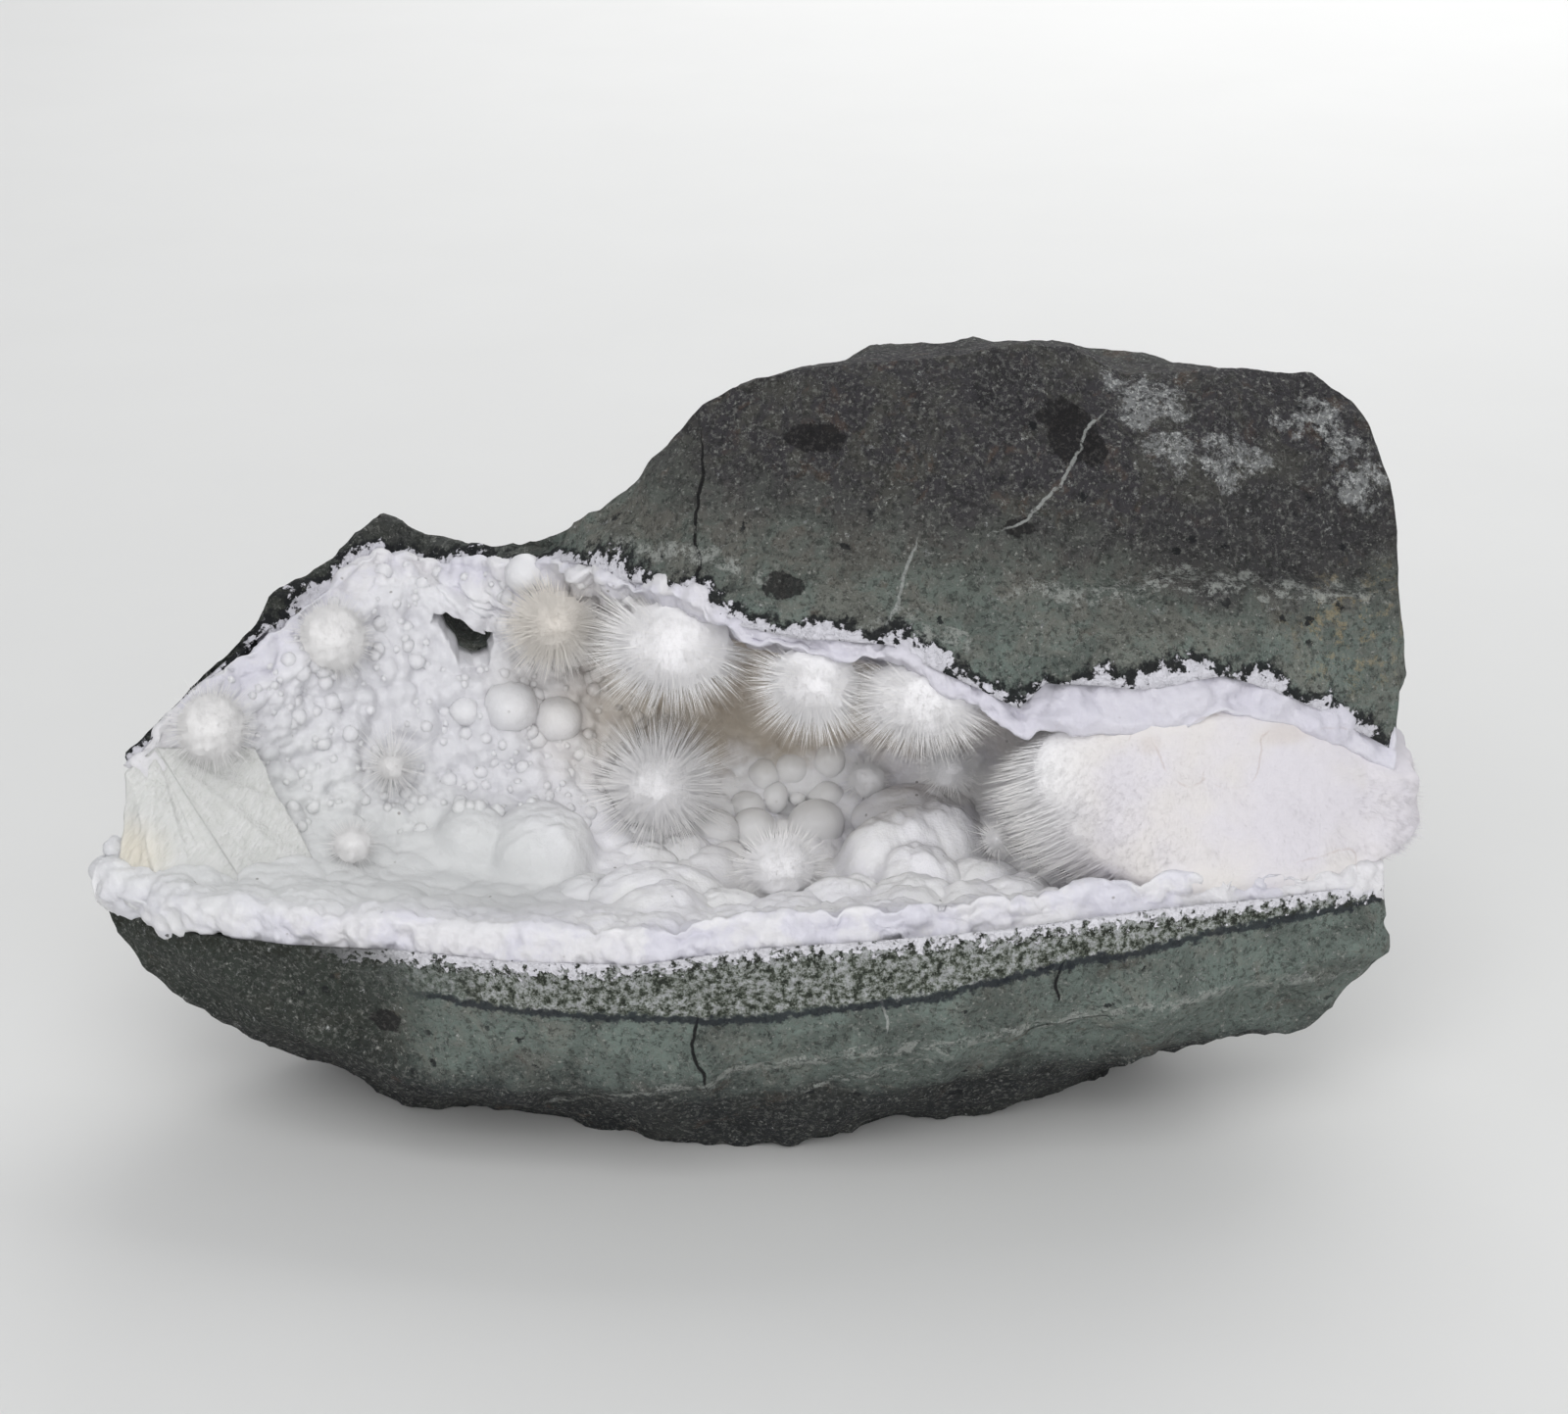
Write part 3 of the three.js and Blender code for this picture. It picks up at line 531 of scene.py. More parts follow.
print("middle of the wall:", cavity(np.array([0.5]), np.array([0.5])).round(1), "mm")

# %% Normals
def unit(vectors):
    return vectors / np.maximum(np.linalg.norm(vectors, axis=-1, keepdims=True), 1e-12)


def grid_normals(points):
    """Unit normals of a grid: the cross product of its two directions."""
    return unit(np.cross(np.gradient(points, axis=0), np.gradient(points, axis=1)))


def ring_normals(rings):
    """Unit normals of a grid whose columns are closed rings."""
    return grid_normals(np.concatenate([rings[:, -1:], rings, rings[:, :1]], axis=1))[:, 1:-1]


# %% [markdown]
# ## From arrays to meshes
# A surface is a grid of points, and two triangles fill each of its squares. A grid that
# closes on itself repeats its first column in the triangles but not in the points, so the
# mesh has no open seam. The arrays go into a mesh whole, which is much faster than one
# point at a time.

# %% Grids and triangles
def numbered(grid):
    """Numbers of a grid's points, with the first of each ring again at its end."""
    index = np.arange(grid[..., 0].size).reshape(grid.shape[:2])
    return np.concatenate([index, index[:, :1]], axis=1)


def sheet(index):
    """Triangles between neighbours of a grid of point numbers."""
    a, b, c, d = index[:-1, :-1], index[1:, :-1], index[:-1, 1:], index[1:, 1:]
    return np.concatenate([np.stack(t, -1).reshape(-1, 3) for t in ((a, b, c), (b, d, c))])


def angles(rings, around):
    """Grids of the angle from the pole, without the poles, and of the angle round it."""
    return np.meshgrid(np.linspace(0, math.pi, rings + 1)[1:-1],
                       np.linspace(0, 2 * math.pi, around, endpoint=False), indexing="ij")


def closed_rings(rings, first, last):
    """Points and triangles of a grid of rings, with a point at either end to close it."""
    index, tip = numbered(rings), np.full(rings.shape[1], rings[..., 0].size)
    caps = [np.stack([tip, index[0, :-1], index[0, 1:]], 1),
            np.stack([tip + 1, index[-1, 1:], index[-1, :-1]], 1)]
    return (np.concatenate([rings.reshape(-1, 3), [first, last]]),
            np.concatenate([sheet(index), *caps]))


def compact(points, triangles):
    """Drops triangles that have a corner twice, and points that no triangle uses."""
    a, b, c = triangles.T
    triangles = triangles[(a != b) & (b != c) & (c != a)]
    used, renumbered = np.unique(triangles, return_inverse=True)
    return points[used], renumbered.reshape(triangles.shape)


# %% Meshes from arrays
def mesh_of(name, points, triangles):
    """Object at the origin from points in millimetres and triangles that face outwards."""
    count = len(triangles)
    mesh = bpy.data.meshes.new(name)
    mesh.vertices.add(len(points))
    mesh.loops.add(3 * count)
    mesh.polygons.add(count)
    mesh.vertices.foreach_set("co", ((points - CENTRE) * MM).astype(np.float32).ravel())
    mesh.loops.foreach_set("vertex_index", triangles.astype(np.int32).ravel())
    mesh.polygons.foreach_set("loop_start", np.arange(0, 3 * count, 3, dtype=np.int32))
    mesh.polygons.foreach_set("use_smooth", np.ones(count, bool))
    mesh.update(calc_edges=True)
    made = bpy.data.objects.new(name, mesh)
    bpy.context.scene.collection.objects.link(made)
    print(f"{name}: {count} triangles")
    return made


def stored(piece, what):
    """Three numbers for each point of a piece, such as its place or its normal."""
    flat = np.empty(3 * len(piece.data.vertices), np.float32)
    piece.data.vertices.foreach_get(what, flat)
    return flat.reshape(-1, 3)


def points_of(piece):
    """Places of a piece's points, in millimetres as the rails are."""
    return stored(piece, "co") / MM + CENTRE


def set_values(piece, name, values):
    """Stores one number per point, for the piece's material to read."""
    layer = piece.data.attributes.new(name, "FLOAT", "POINT")
    layer.data.foreach_set("value", np.asarray(values, np.float32))


def keep_in_box(points, margin=0.03):
    """Moves points that left the box of the frame back to its sides."""
    low, high = (np.array(corner) / MM + CENTRE for corner in CAD_BOX)
    low, high = low + margin, high - margin
    low[2] = 0
    return np.clip(points, low, high)


# %% [markdown]
# ## The basalt
# Basalt breaks like glass, in shallow bowls with sharp ridges between them. The surface is
# the loop of rails at many places along the rock. It is then pushed in by three sizes of
# chips and by grain. The chips are real mesh and not a bump, because they make the outline.

# %% Basalt: sections
# Rail, rows up to the next rail and their roundness, then at the rail itself the depth of
# the large chips, of the small ones and of the flat facets, and how far it is sunk. Only
# the rail behind the crest is sunk by much, so that the crest itself is the skyline.
OUTSIDE = [
    ("upperLip", 16, 0, 0, 0.2, 0, 0), ("ledgeEdge", 7, 0, 0.3, 0.8, 0, 0),
    ("ledgeBack", 26, 0.3, 0.5, 1, 0, 0), ("brow", 20, 0.3, 0.5, 0.8, 0, 0),
    ("crest", 22, 0.5, 0.12, 0.5, 0, 0.1), ("crestBack", 24, 1, 0.5, 0.7, 0.4, 1.4),
    ("backHigh", 36, 1, 1, 1, 1.7, 0.4), ("backLow", 28, 1, 1, 1, 1.7, 0),
    ("footBack", 24, 0, 0, 0.5, 0.5, 0), ("footFront", 44, 0.2, 0, 0.8, 0, 0),
    ("breakLow", 32, 0.2, 0.4, 1, 0, 0), ("lowerLip", 0, 0, 0, 0.2, 0, 0),
]
COLUMNS = 300
HIDDEN_ROWS = 16  # of the cavity wall, which the crust covers
FOOT = (8, 9)  # between these two rails the rock stands on its flat

outside_names, row_counts, roundness, *weights = zip(*OUTSIDE)
rail_places = np.arange(len(OUTSIDE))
u_basalt = np.linspace(0, 1, COLUMNS)
w_rows = np.concatenate([k + np.arange(rows) / rows for k, rows in enumerate(row_counts) if rows])
outside = through(rail_places, [rail(name, u_basalt) for name in outside_names], w_rows,
                  np.array(roundness)[w_rows.astype(int)]).transpose(1, 0, 2)
hidden = cavity(u_basalt, np.arange(HIDDEN_ROWS) / HIDDEN_ROWS)
loop = np.concatenate([hidden, outside], axis=1)
print("loop of the basalt:", loop.shape)

# %% Basalt: chips
SMALL_CHIPS = ((14, 0.34, 21), (5.2, 0.44, 31), (2.1, 0.44, 35))  # size, height, salt
FACETS = ((21, 0.6, 25), (9.5, 0.6, 27), (4.2, 0.5, 29))
FOOT_ROUGH = 1.2  # what is lower than this on the underside belongs to the foot


def chipped(points, chips, **bowl):
    """Sum of several sizes of chips, each as high as its row says."""
    return sum(height * flakes(points, size, salt, **bowl) for size, height, salt in chips)


def rock_relief(points, large, fine, facets=0.0):
    """Height of the broken surface: large chips, three sizes of small ones, and grain.

    `facets` cuts tilted planes into it as well, about 20, 10 and 4 millimetres wide.
    """
    warped = points + 1.2 * np.stack([blotches(points, 6, 60 + k) for k in range(3)], -1)
    small = chipped(warped, SMALL_CHIPS) - 0.15 + 0.22 * rough(points, 2.2, 3, salt=41)
    planes = np.clip(chipped(points, FACETS, tilt=0.75, curve=0.55) + 2.2, -4.5, 2.5)
    return large * chip_depth(points) + fine * small + facets * 0.6 * planes


large, fine, facets, sunk = (np.interp(w_rows, rail_places, weight) for weight in weights)
relief = rock_relief(outside, large, fine, facets) - sunk
rock = loop.copy()
rock[:, HIDDEN_ROWS:] += ring_normals(loop)[:, HIDDEN_ROWS:] * relief[..., None]
foot_rows = HIDDEN_ROWS + np.flatnonzero((w_rows > FOOT[0]) & (w_rows < FOOT[1]))
foot = rock[:, foot_rows]
pits = np.maximum(0, 0.35 * rough(foot, 5, 3, salt=51) - 0.05)
rock[:, foot_rows, 2] = np.where(foot[..., 2] < FOOT_ROUGH, pits, foot[..., 2])
rock = keep_in_box(rock)
print("relief from", relief.min().round(2), "to", relief.max().round(2), "mm")

# %% Basalt: one closed mesh
# Each end is closed by strips from the outside to the point of the cavity wall opposite.
OPPOSITE = ([0, 4.5, 6, 7, 8, 11], [1, 0.8, 0.63, 0.46, 0.28, 0])  # outside place, wall place


def closed_loft(name, loops, outer_rows, inner_rows, strips, relief):
    """Closed mesh from a grid of sections, with the points round each of them.

    An end is closed by `strips` straight strips across its section, from each outer row to
    the inner row that stands opposite, and `relief` roughens the middle of the end.
    """
    index = numbered(loops)
    points, faces = [loops.reshape(-1, 3)], [sheet(index)]
    count = len(outer_rows)
    inset = np.minimum(1, 16 * np.linspace(0, 1, count) * np.linspace(1, 0, count))
    for column, parts, out in ((0, strips[0], -1), (-1, strips[1], 1)):
        outer, inner = index[column][outer_rows], index[column][inner_rows]
        s = (np.arange(1, parts) / parts)[:, None]
        across = points[0][outer] * (1 - s[..., None]) + points[0][inner] * s[..., None]
        across[..., 0] += out * np.minimum(1, 4 * s * (1 - s)) * inset * relief(across)
        made = sum(map(len, points)) + np.arange(across[..., 0].size).reshape(across.shape[:2])
        end = np.concatenate([outer[None], made, inner[None]])
        end[:, 0], end[:, -1] = outer[0], outer[-1]
        faces.append(sheet(end if out > 0 else end[:, ::-1]))
        points.append(across.reshape(-1, 3))
    return mesh_of(name, *compact(keep_in_box(np.concatenate(points)), np.concatenate(faces)))


opposite = np.rint(np.interp(np.append(w_rows, 11), *OPPOSITE) * HIDDEN_ROWS).astype(int)
basalt = closed_loft(
    "basalt_body", rock, np.append(HIDDEN_ROWS + np.arange(len(w_rows)), 0), opposite,
    (5, 14), lambda points: rock_relief(points, 0.5, 0.8))

# %% [markdown]
# ## The crust
# The crust is a skin of minerals that grew on the hollow's wall: thickest at the lips,
# where it was broken through, and covered with lumps like a bunch of grapes. It is made as
# a height above the wall. A lump is the top of a ball, and the pebbles between the lumps
# are smaller balls packed at random.

# %% Crust: mounds
# [x, y, z, radius] of the ball that each mound is the top of.
MOUNDS = np.array([
    [-33.8, -5.3, 29.2, 4.4], [-25.7, -6.3, 28, 6], [-11.2, -22, 24.6, 6],
    [13.7, -7, 27, 5], [20.6, -4, 27.4, 5.2], [17, -5, 26.4, 6.3], [17.6, -12, 25.6, 5.4],
    [10.2, -18.3, 25.7, 4], [16.8, -22, 26, 4.4], [23.4, -20.8, 26, 4.4],
    [29.1, -18.7, 26, 4],
])
MOUND_REACH = 6  # how far a mound stands out of the bare crust, at most
STEEP = 0.96  # part of the radius at which the round top passes into a straight slope


def mound_height(feet, normals):
    """Height above the wall of the highest mound.

    Out to STEEP the top is a ball's: the root of (radius squared less the distance from
    its axis squared). Beyond that it falls at the slope it has there.
    """
    highest = np.zeros(feet.shape[:-1])
    wobble = 1 + 0.16 * rough(feet, 5, 3, salt=61)
    for *middle, radius in MOUNDS:
        away = feet - middle
        along = np.sum(away * normals, axis=-1)
        square = np.sum(away ** 2, axis=-1)
        across = np.sqrt(np.maximum(square - along ** 2, 0)) * wobble / radius
        top = np.sqrt(1 - np.minimum(across, STEEP) ** 2)
        slope = STEEP / math.sqrt(1 - STEEP ** 2)
        height = radius * (top - slope * np.maximum(across - STEEP, 0)) - along
        near = square < (radius + MOUND_REACH) ** 2
        highest = np.where(near, np.maximum(highest, height), highest)
    return highest


def soft_max(a, b, blend):
    """The larger of two heights, with a hollow of about `blend` where they meet."""
    return (a + b + np.sqrt((a - b) ** 2 + blend ** 2)) / 2


# %% Crust: thickness
CRUST = {"upper_lip": 5.2, "top_left": 1.1, "right_end": 0.45}
FROM_LOWER_LIP = ([0, 0.05, 0.12, 0.3], [3.7, 4.6, 4.9, 3.7])  # v, thickness


def among_balls(u):
    """1 where balls hang in the roof and the upper lip is thin between them."""
    return rise(u, 0.33, 0.42) * (1 - rise(u, 0.67, 0.73))


def crust_thickness(u, v):
    """Bare thickness: more towards both lips, less at the top left and at the right end."""
    lower = np.interp(v, *FROM_LOWER_LIP)
    upper = CRUST["top_left"] + (CRUST["upper_lip"] - CRUST["top_left"]) * rise(u, 0.32, 0.6)
    upper = upper * (1 - 0.72 * among_balls(u))
    full = lower + (upper - lower) * rise(v, 0.86, 1)
    return full * (1 - (1 - CRUST["right_end"]) * rise(u, 0.8, 0.97))


def lip_lumps(points):
    """Lumps of the broken edge: two sizes of pebbles."""
    return (0.42 * (pebbles(points, 4.6, 105, 0.85) - 2.4)
            + 0.34 * (pebbles(points, 1.8, 106, 0.85) - 0.95)
            + 0.3 * rough(points, 0.8, 2, salt=109))


def pebble_height(feet, normals, u, v):
    """Small pebbles: fine and deep on the left wall, coarse at the lips, faint on the floor."""
    bowl = rise(v, 0.40, 0.52) * (1 - rise(u, 0.40, 0.52))
    middle = rise(u, 0.38, 0.5) * rise(v, 0.05, 0.15) * (1 - rise(v, 0.6, 0.8))
    upper_lip = rise(v, 0.82, 0.92) * rise(u, 0.3, 0.42) * (1 - 0.5 * rise(u, 0.7, 0.8))
    lower_lip = 1 - rise(v, 0.08, 0.2)
    floor = (1 - lower_lip) * (1 - rise(v, 0.42, 0.55))
    fine = pebbles(feet, 1.7, salt=71, fill=0.8) - 0.9
    medium = pebbles(feet, 3.2, salt=81, fill=0.8) - 1.7
    coarse = pebbles(feet, 5.5, salt=91, fill=0.85) - 3.2
    swell = 0.5 * rough(feet, 9, 3, salt=95)
    return (swell + bowl * (0.75 * medium + 0.65 * fine) + middle * (0.55 * coarse + 0.25 * fine)
            + floor * (0.3 * coarse + 0.25 * medium)
            + np.maximum(upper_lip, lower_lip) * lip_lumps(feet + 4 * normals)
            + 0.10 * rough(feet, 1.1, 2, salt=97))


# %% Crust: faces
def along_mean(rows, reach):
    """Mean of the rows up to `reach` before and after each, so that corners are rounded."""
    padded = np.concatenate([rows[:1]] * reach + [rows] + [rows[-1:]] * reach)
    total = np.cumsum(np.concatenate([0 * padded[:1], padded]), axis=0)
    width = 2 * reach + 1
    return (total[width:] - total[:-width]) / width


GAP = 0.2  # between the crust's back and the wall
FRONT_ROWS, EDGE_ROWS, BACK_ROWS = 186, 18, 12
LAP = 2.2  # how far the crust laps over a lip, about
u_crust = np.concatenate([np.linspace(-0.004, 0.72, 310), np.linspace(0.723, 1.004, 90)])
v_crust = np.linspace(0.004, 0.996, FRONT_ROWS)

feet = cavity(u_crust, v_crust)
crust_normals = unit(along_mean(grid_normals(feet), 9))
u_grid, v_grid = np.meshgrid(np.clip(u_crust, 0, 1), v_crust, indexing="ij")
bare = crust_thickness(u_grid, v_grid) + pebble_height(feet, crust_normals, u_grid, v_grid)
mounds = (mound_height(feet, crust_normals) + 0.55 * rough(feet, 1.8, 4, salt=99)
          + pebbles(feet, 2.4, salt=98) * (0.12 + 0.25 * rise(feet[..., 0], -22, -8)))
heights = np.maximum(soft_max(bare, mounds, 1.2), 0.5)
print("crust thickness from", heights.min().round(1), "to", heights.max().round(1), "mm")

# %% Crust: edges lapped over the lips
def lapped_edge(row, neighbour, lip, beyond, out):
    """Broken edge at a lip, rounded over the lip's outside.

    A curve of three points, t from 0 to 1: the edge of the face, a corner that stands off
    the lip, and a point under the rock's outside. Noise moves it along its own normal, so
    the rough rock cuts it off along a ragged line.
    """
    t = (np.arange(1, EDGE_ROWS + 1) / EDGE_ROWS)[None, :, None]
    normal = crust_normals[:, row]
    start = feet[:, row] + normal * heights[:, row, None]
    edge = along_mean(rail(lip, u_crust), 4)
    down = unit(along_mean(unit(rail(beyond, u_crust) - edge), 14))
    off = unit(np.cross([1.0, 0, 0], down)) * out
    forward = unit(feet[:, row] - feet[:, neighbour])
    bulge = 0.6 * (1 - 0.6 * rise(u_crust, 0.68, 0.78) - 0.6 * among_balls(u_crust))[:, None]
    corner = 0.55 * edge + 0.45 * start + bulge * off + 0.2 * forward
    uneven = np.maximum(1 + 1.6 * rough(edge, 4.5, 4, salt=107), 0.3)
    reach = LAP * uneven * (0.5 + 0.5 * rise(u_crust, 0.25, 0.4))
    end = edge + down * reach[:, None] - 1.0 * off
    curve = ((1 - t) ** 2 * start[:, None] + 2 * t * (1 - t) * corner[:, None]
             + t ** 2 * end[:, None])
    bumps = (0.5 * rough(curve, 3.4, 3, salt=101) + 0.4 * rough(curve, 1.4, 3, salt=103)
             + lip_lumps(curve))
    return curve + grid_normals(curve) * out * (bumps * np.minimum(1, 5 * t[..., 0]))[..., None]


# %% Crust: loop of face, edges and back
back_rows = np.linspace(0.996, 0.004, BACK_ROWS + 2)[1:-1]
back_feet = cavity(u_crust, back_rows[::-1])
back = (back_feet + GAP * grid_normals(back_feet))[:, ::-1]
face = feet + crust_normals * heights[..., None]
crust_loop = np.concatenate(
    [face, lapped_edge(-1, -3, "upperLip", "ledgeEdge", 1), back,
     lapped_edge(0, 2, "lowerLip", "breakLow", -1)[:, ::-1]], axis=1)
crust_loop = keep_in_box(crust_loop)
print("loop of the crust:", crust_loop.shape)

# %% Crust: one closed mesh
crust_rows = np.arange(crust_loop.shape[1])
low_edge, last_front = crust_rows[-EDGE_ROWS:], FRONT_ROWS + EDGE_ROWS
outer_rows = np.concatenate([low_edge, crust_rows[:last_front]])
inner_rows = np.concatenate([low_edge[:1], crust_rows[last_front:-EDGE_ROWS][::-1],
                             [last_front - 1]])
nearest = np.rint(np.interp(
    np.arange(len(outer_rows)), [EDGE_ROWS, last_front], [0, BACK_ROWS + 1]))
crust = closed_loft("crust_body", crust_loop, outer_rows, inner_rows[nearest.astype(int)],
                    (4, 12), lambda points: 0.9 * rough(points, 2.6, 4, salt=111))

# %% [markdown]
# ## Lumps
# Some lumps are whole balls that barely touch the crust. A height above the wall has no
# undersides, so these are closed balls of their own, sunk a little into the crust. The
# clear grey ones are smooth, the white ones are knobbly like a cauliflower, and small
# beads are strewn on the left wall, where their places come from a seeded draw.

# %% Lumps: places
# Each row is x, y, z, then half the width and half the height.
WALL = [
    [-29.6, 4.2, 42.2, 3.3, 3.2], [-24.1, 5, 40.3, 2.9, 2.9], [-34.9, 3.6, 41.8, 1.9, 1.7],
    [-31.8, 3.9, 38.6, 1.7, 1.5], [-27, 4.6, 38.2, 1.9, 1.6], [-27.6, 6.2, 58, 2.6, 2.3],
]
ROUND = [
    [-1.1, 4.4, 26.3, 2.7, 2.6], [-5.6, 2.8, 26.7, 2.9, 2.8], [6.4, 6, 26.3, 3.6, 3.1],
    [1.4, 8.6, 28.7, 1.7, 2], [-1.9, 7.3, 28, 2.3, 1.9], [7.5, 9.2, 28.6, 2.2, 1.9],
    [3.4, 10.6, 31.7, 2.5, 2.2], [7.8, 11, 32.4, 2.2, 2.1], [0.1, 10, 30.9, 2.2, 2],
    [4.1, 9, 28.4, 1, 1], [-4.1, -0.6, 25.3, 2.1, 1.6],
    [35.7, -7.5, 26.4, 2.2, 2], [38.8, -11, 27, 2, 1.8],
]
KNOBBY = [
    [-12.1, -16.4, 26.4, 8.4, 4.4], [-19.3, -14.4, 25.6, 4.4, 3], [-4.6, -19, 26.6, 5, 2.4],
    [-14.2, -4.1, 25.2, 4.2, 3], [-9.2, -1.4, 25.2, 3.6, 2.8], [18.4, 5.5, 27.2, 7.6, 3.7],
    [16.6, -0.6, 25.4, 7.2, 4.3], [23.6, 0.4, 25.4, 4, 3.8], [10.6, -3.4, 24.4, 1.9, 1.7],
    [8, -6.6, 24.6, 1.5, 1.3], [30.3, -6.4, 25.6, 2.6, 2.5], [33.3, -11, 26.2, 2.2, 2.1],
    [25.1, -11.6, 26, 5, 3.4], [16.9, -19, 27, 6, 3.6], [8.8, -18.6, 27, 4.7, 3.1],
    [2.4, -23.4, 27.8, 5, 2.4], [27.9, -20.2, 28, 4.8, 3], [12.5, -11, 25, 4.4, 3],
    [-75, -13.5, 29, 1.9, 1.8], [-74.2, -15.6, 27.8, 1.7, 1.6], [-74, -12.5, 31.4, 1.4, 1.4],
    [-70.5, -17.5, 27.4, 1.8, 1.2],
]
BEADS = {"count": 380, "u": (0.05, 0.42), "v": (0.42, 0.97), "radius": (0.4, 1.15), "seed": 41}
HOLE_AT = [-35.4, 10, 50.6]  # where the hole passes through the left wall
HOLE_ROOM = 5.5  # no bead is nearer to it than this

# %% Lumps: closed balls
def core_points(at, radii, rings, seed, fuzz, grain=1.3, knobs=0.0):
    """Closed ball on a grid of angles, whose radius is roughened by `fuzz` millimetres.

    `knobs` adds the tops of small balls packed on the large one, that many times as high.
    """
    polar, around = angles(rings, 2 * rings)
    out = np.stack([np.sin(polar) * np.cos(around), np.sin(polar) * np.sin(around),
                    np.cos(polar)], -1)
    radii = np.array(radii, float)
    bumps = fuzz * (rough(out * radii, grain, 3, salt=seed) - 0.2)
    if knobs:
        size = 0.75 * radii.min() ** 0.6
        bumps = bumps + knobs * (pebbles(out * radii + 30, size, seed, 0.85) - 0.4 * size)
        bumps = bumps + 0.5 * knobs * pebbles(out * radii, 0.5 * size, seed + 1, 0.85)
    poles = np.array([[0, 0, 1.0], [0, 0, -1.0]]) * radii + at
    return closed_rings(at + out * (radii + bumps[..., None]), *poles)


def beads(count, u, v, radius, seed):
    """Centres on the crust's face at random places, and radii, of small round beads."""
    draws = np.random.default_rng(seed).random((count, 3))
    columns = np.searchsorted(u_crust, u[0] + (u[1] - u[0]) * draws[:, 0])
    rows = np.searchsorted(v_crust, v[0] + (v[1] - v[0]) * draws[:, 1])
    size = radius[0] + (radius[1] - radius[0]) * draws[:, 2] ** 2
    places = face[columns, rows] - crust_normals[columns, rows] * (0.5 * size[:, None])
    free = np.linalg.norm(places - HOLE_AT, axis=1) > HOLE_ROOM
    return np.column_stack([places, size, size])[free]


def lump_piece(name, kinds):
    """One mesh of closed balls. `clear` is stored per point: 1 on smooth grey balls."""
    points, faces, clear = [], [], []
    for rows, knobs, clearness in kinds:
        for x, y, z, wide, high in rows:
            made, made_faces = core_points(
                [x, y, z], [wide, (wide + high) / 2, high], int(min(6 + 4.6 * wide ** 0.8, 26)),
                151 + len(points), 0.16 * wide ** 0.7, 1.5 * wide ** 0.8, knobs)
            faces.append(made_faces + sum(map(len, points)))
            points.append(made)
            clear.append(np.full(len(made), clearness))
    piece = mesh_of(name, keep_in_box(np.concatenate(points)), np.concatenate(faces))
    return piece, np.concatenate(clear)


KINDS = (  # places, how knobbly and how clear they are
    (ROUND, 0.03, 1.0), (WALL, 0.06, 0.4), (KNOBBY, 0.38, 0.0), (beads(**BEADS), 0.0, 0.15))
lumps, clear_values = lump_piece("crust_lumps", KINDS)
set_values(lumps, "clear", clear_values)

# %% [markdown]
# ## Blades at the left end
# Where the crust was cleaved, two flat wedges stand beside the left ball. Fine lines run
# down them from one corner. A wedge is the hull of its corners, divided into small
# triangles, and the lines are noise that depends only on the direction from that corner.

# %% Blades
BLADES = [
    [[-68.6, -12.2, 43.8], [-58.6, -16.6, 28.2], [-67.5, -18.3, 27.4], [-73.4, -15.4, 29],
     [-71.6, -14.4, 41.6], [-66, -6, 28]],
    [[-68.6, -12.2, 43.8], [-58.6, -16.6, 28.2], [-58, -8.8, 42.2], [-50.8, -12.4, 28.4],
     [-57, -5, 28], [-66, -6, 28]],
]
BLADE_STEPS = 44


def hull(corners):
    """Triangles of the hull of a few points: those with every other point behind them."""
    points = np.array(corners, float)
    faces = []
    for three in itertools.combinations(range(len(points)), 3):
        a, b, c = points[list(three)]
        out = np.cross(b - a, c - a)
        side = (np.delete(points, three, axis=0) - a) @ out
        if np.all(side < 1e-9):
            faces.append((a, b, c))
        elif np.all(side > -1e-9):
            faces.append((a, c, b))
    return np.array(faces)


def divided():
    """Weights of a triangle's corners at evenly spread points, and the small triangles."""
    i, j = np.indices((BLADE_STEPS + 1, BLADE_STEPS + 1))
    inside = i + j <= BLADE_STEPS
    weights = np.stack([i, j, BLADE_STEPS - i - j], -1)[inside] / BLADE_STEPS
    number = np.cumsum(inside.ravel()).reshape(inside.shape) - 1
    up, down = inside[1:, :-1] & inside[:-1, 1:], inside[1:, 1:]
    a, b, c, d = number[:-1, :-1], number[1:, :-1], number[:-1, 1:], number[1:, 1:]
    return weights, np.concatenate([np.stack([a[up], b[up], c[up]], 1),
                                    np.stack([b[down], d[down], c[down]], 1)])


def blade(corners):
    """A wedge: each face of the hull is divided evenly, then lined."""
    weights, small = divided()
    faces = hull(corners)
    points = np.einsum("nk,fkd->fnd", weights, faces).reshape(-1, 3)
    triangles = np.concatenate([small + k * len(weights) for k in range(len(faces))])
    merged, back_to = np.unique(points.round(5), axis=0, return_inverse=True)
    away = merged - np.array(corners[0])
    reach = np.linalg.norm(away, axis=1, keepdims=True)
    fan = 40 * away / np.maximum(reach, 1e-6)
    lined = 0.22 * rough(fan, 2.2, 3, salt=121) + 0.16 * flakes(fan, 9, salt=123)
    height = lined * rise(reach[:, 0], 0, 5) + 0.25 * rough(merged, 5, 3, salt=125)
    merged = merged + unit(merged - merged.mean(axis=0)) * height[:, None]
    return compact(merged, back_to.ravel()[triangles])


(first_points, first_faces), (more_points, more_faces) = (blade(each) for each in BLADES)
blades = mesh_of("crust_blades", np.concatenate([first_points, more_points]),
                 np.concatenate([first_faces, more_faces + len(first_points)]))

# %% [markdown]
# ## The hole
# High on the left wall the rock is broken through. A ragged prism is cut out of the rock
# and the crust alike, so the hole is a real one. It slopes upwards to the back, so what
# shows in it is its own dark rock and not the light behind the specimen.

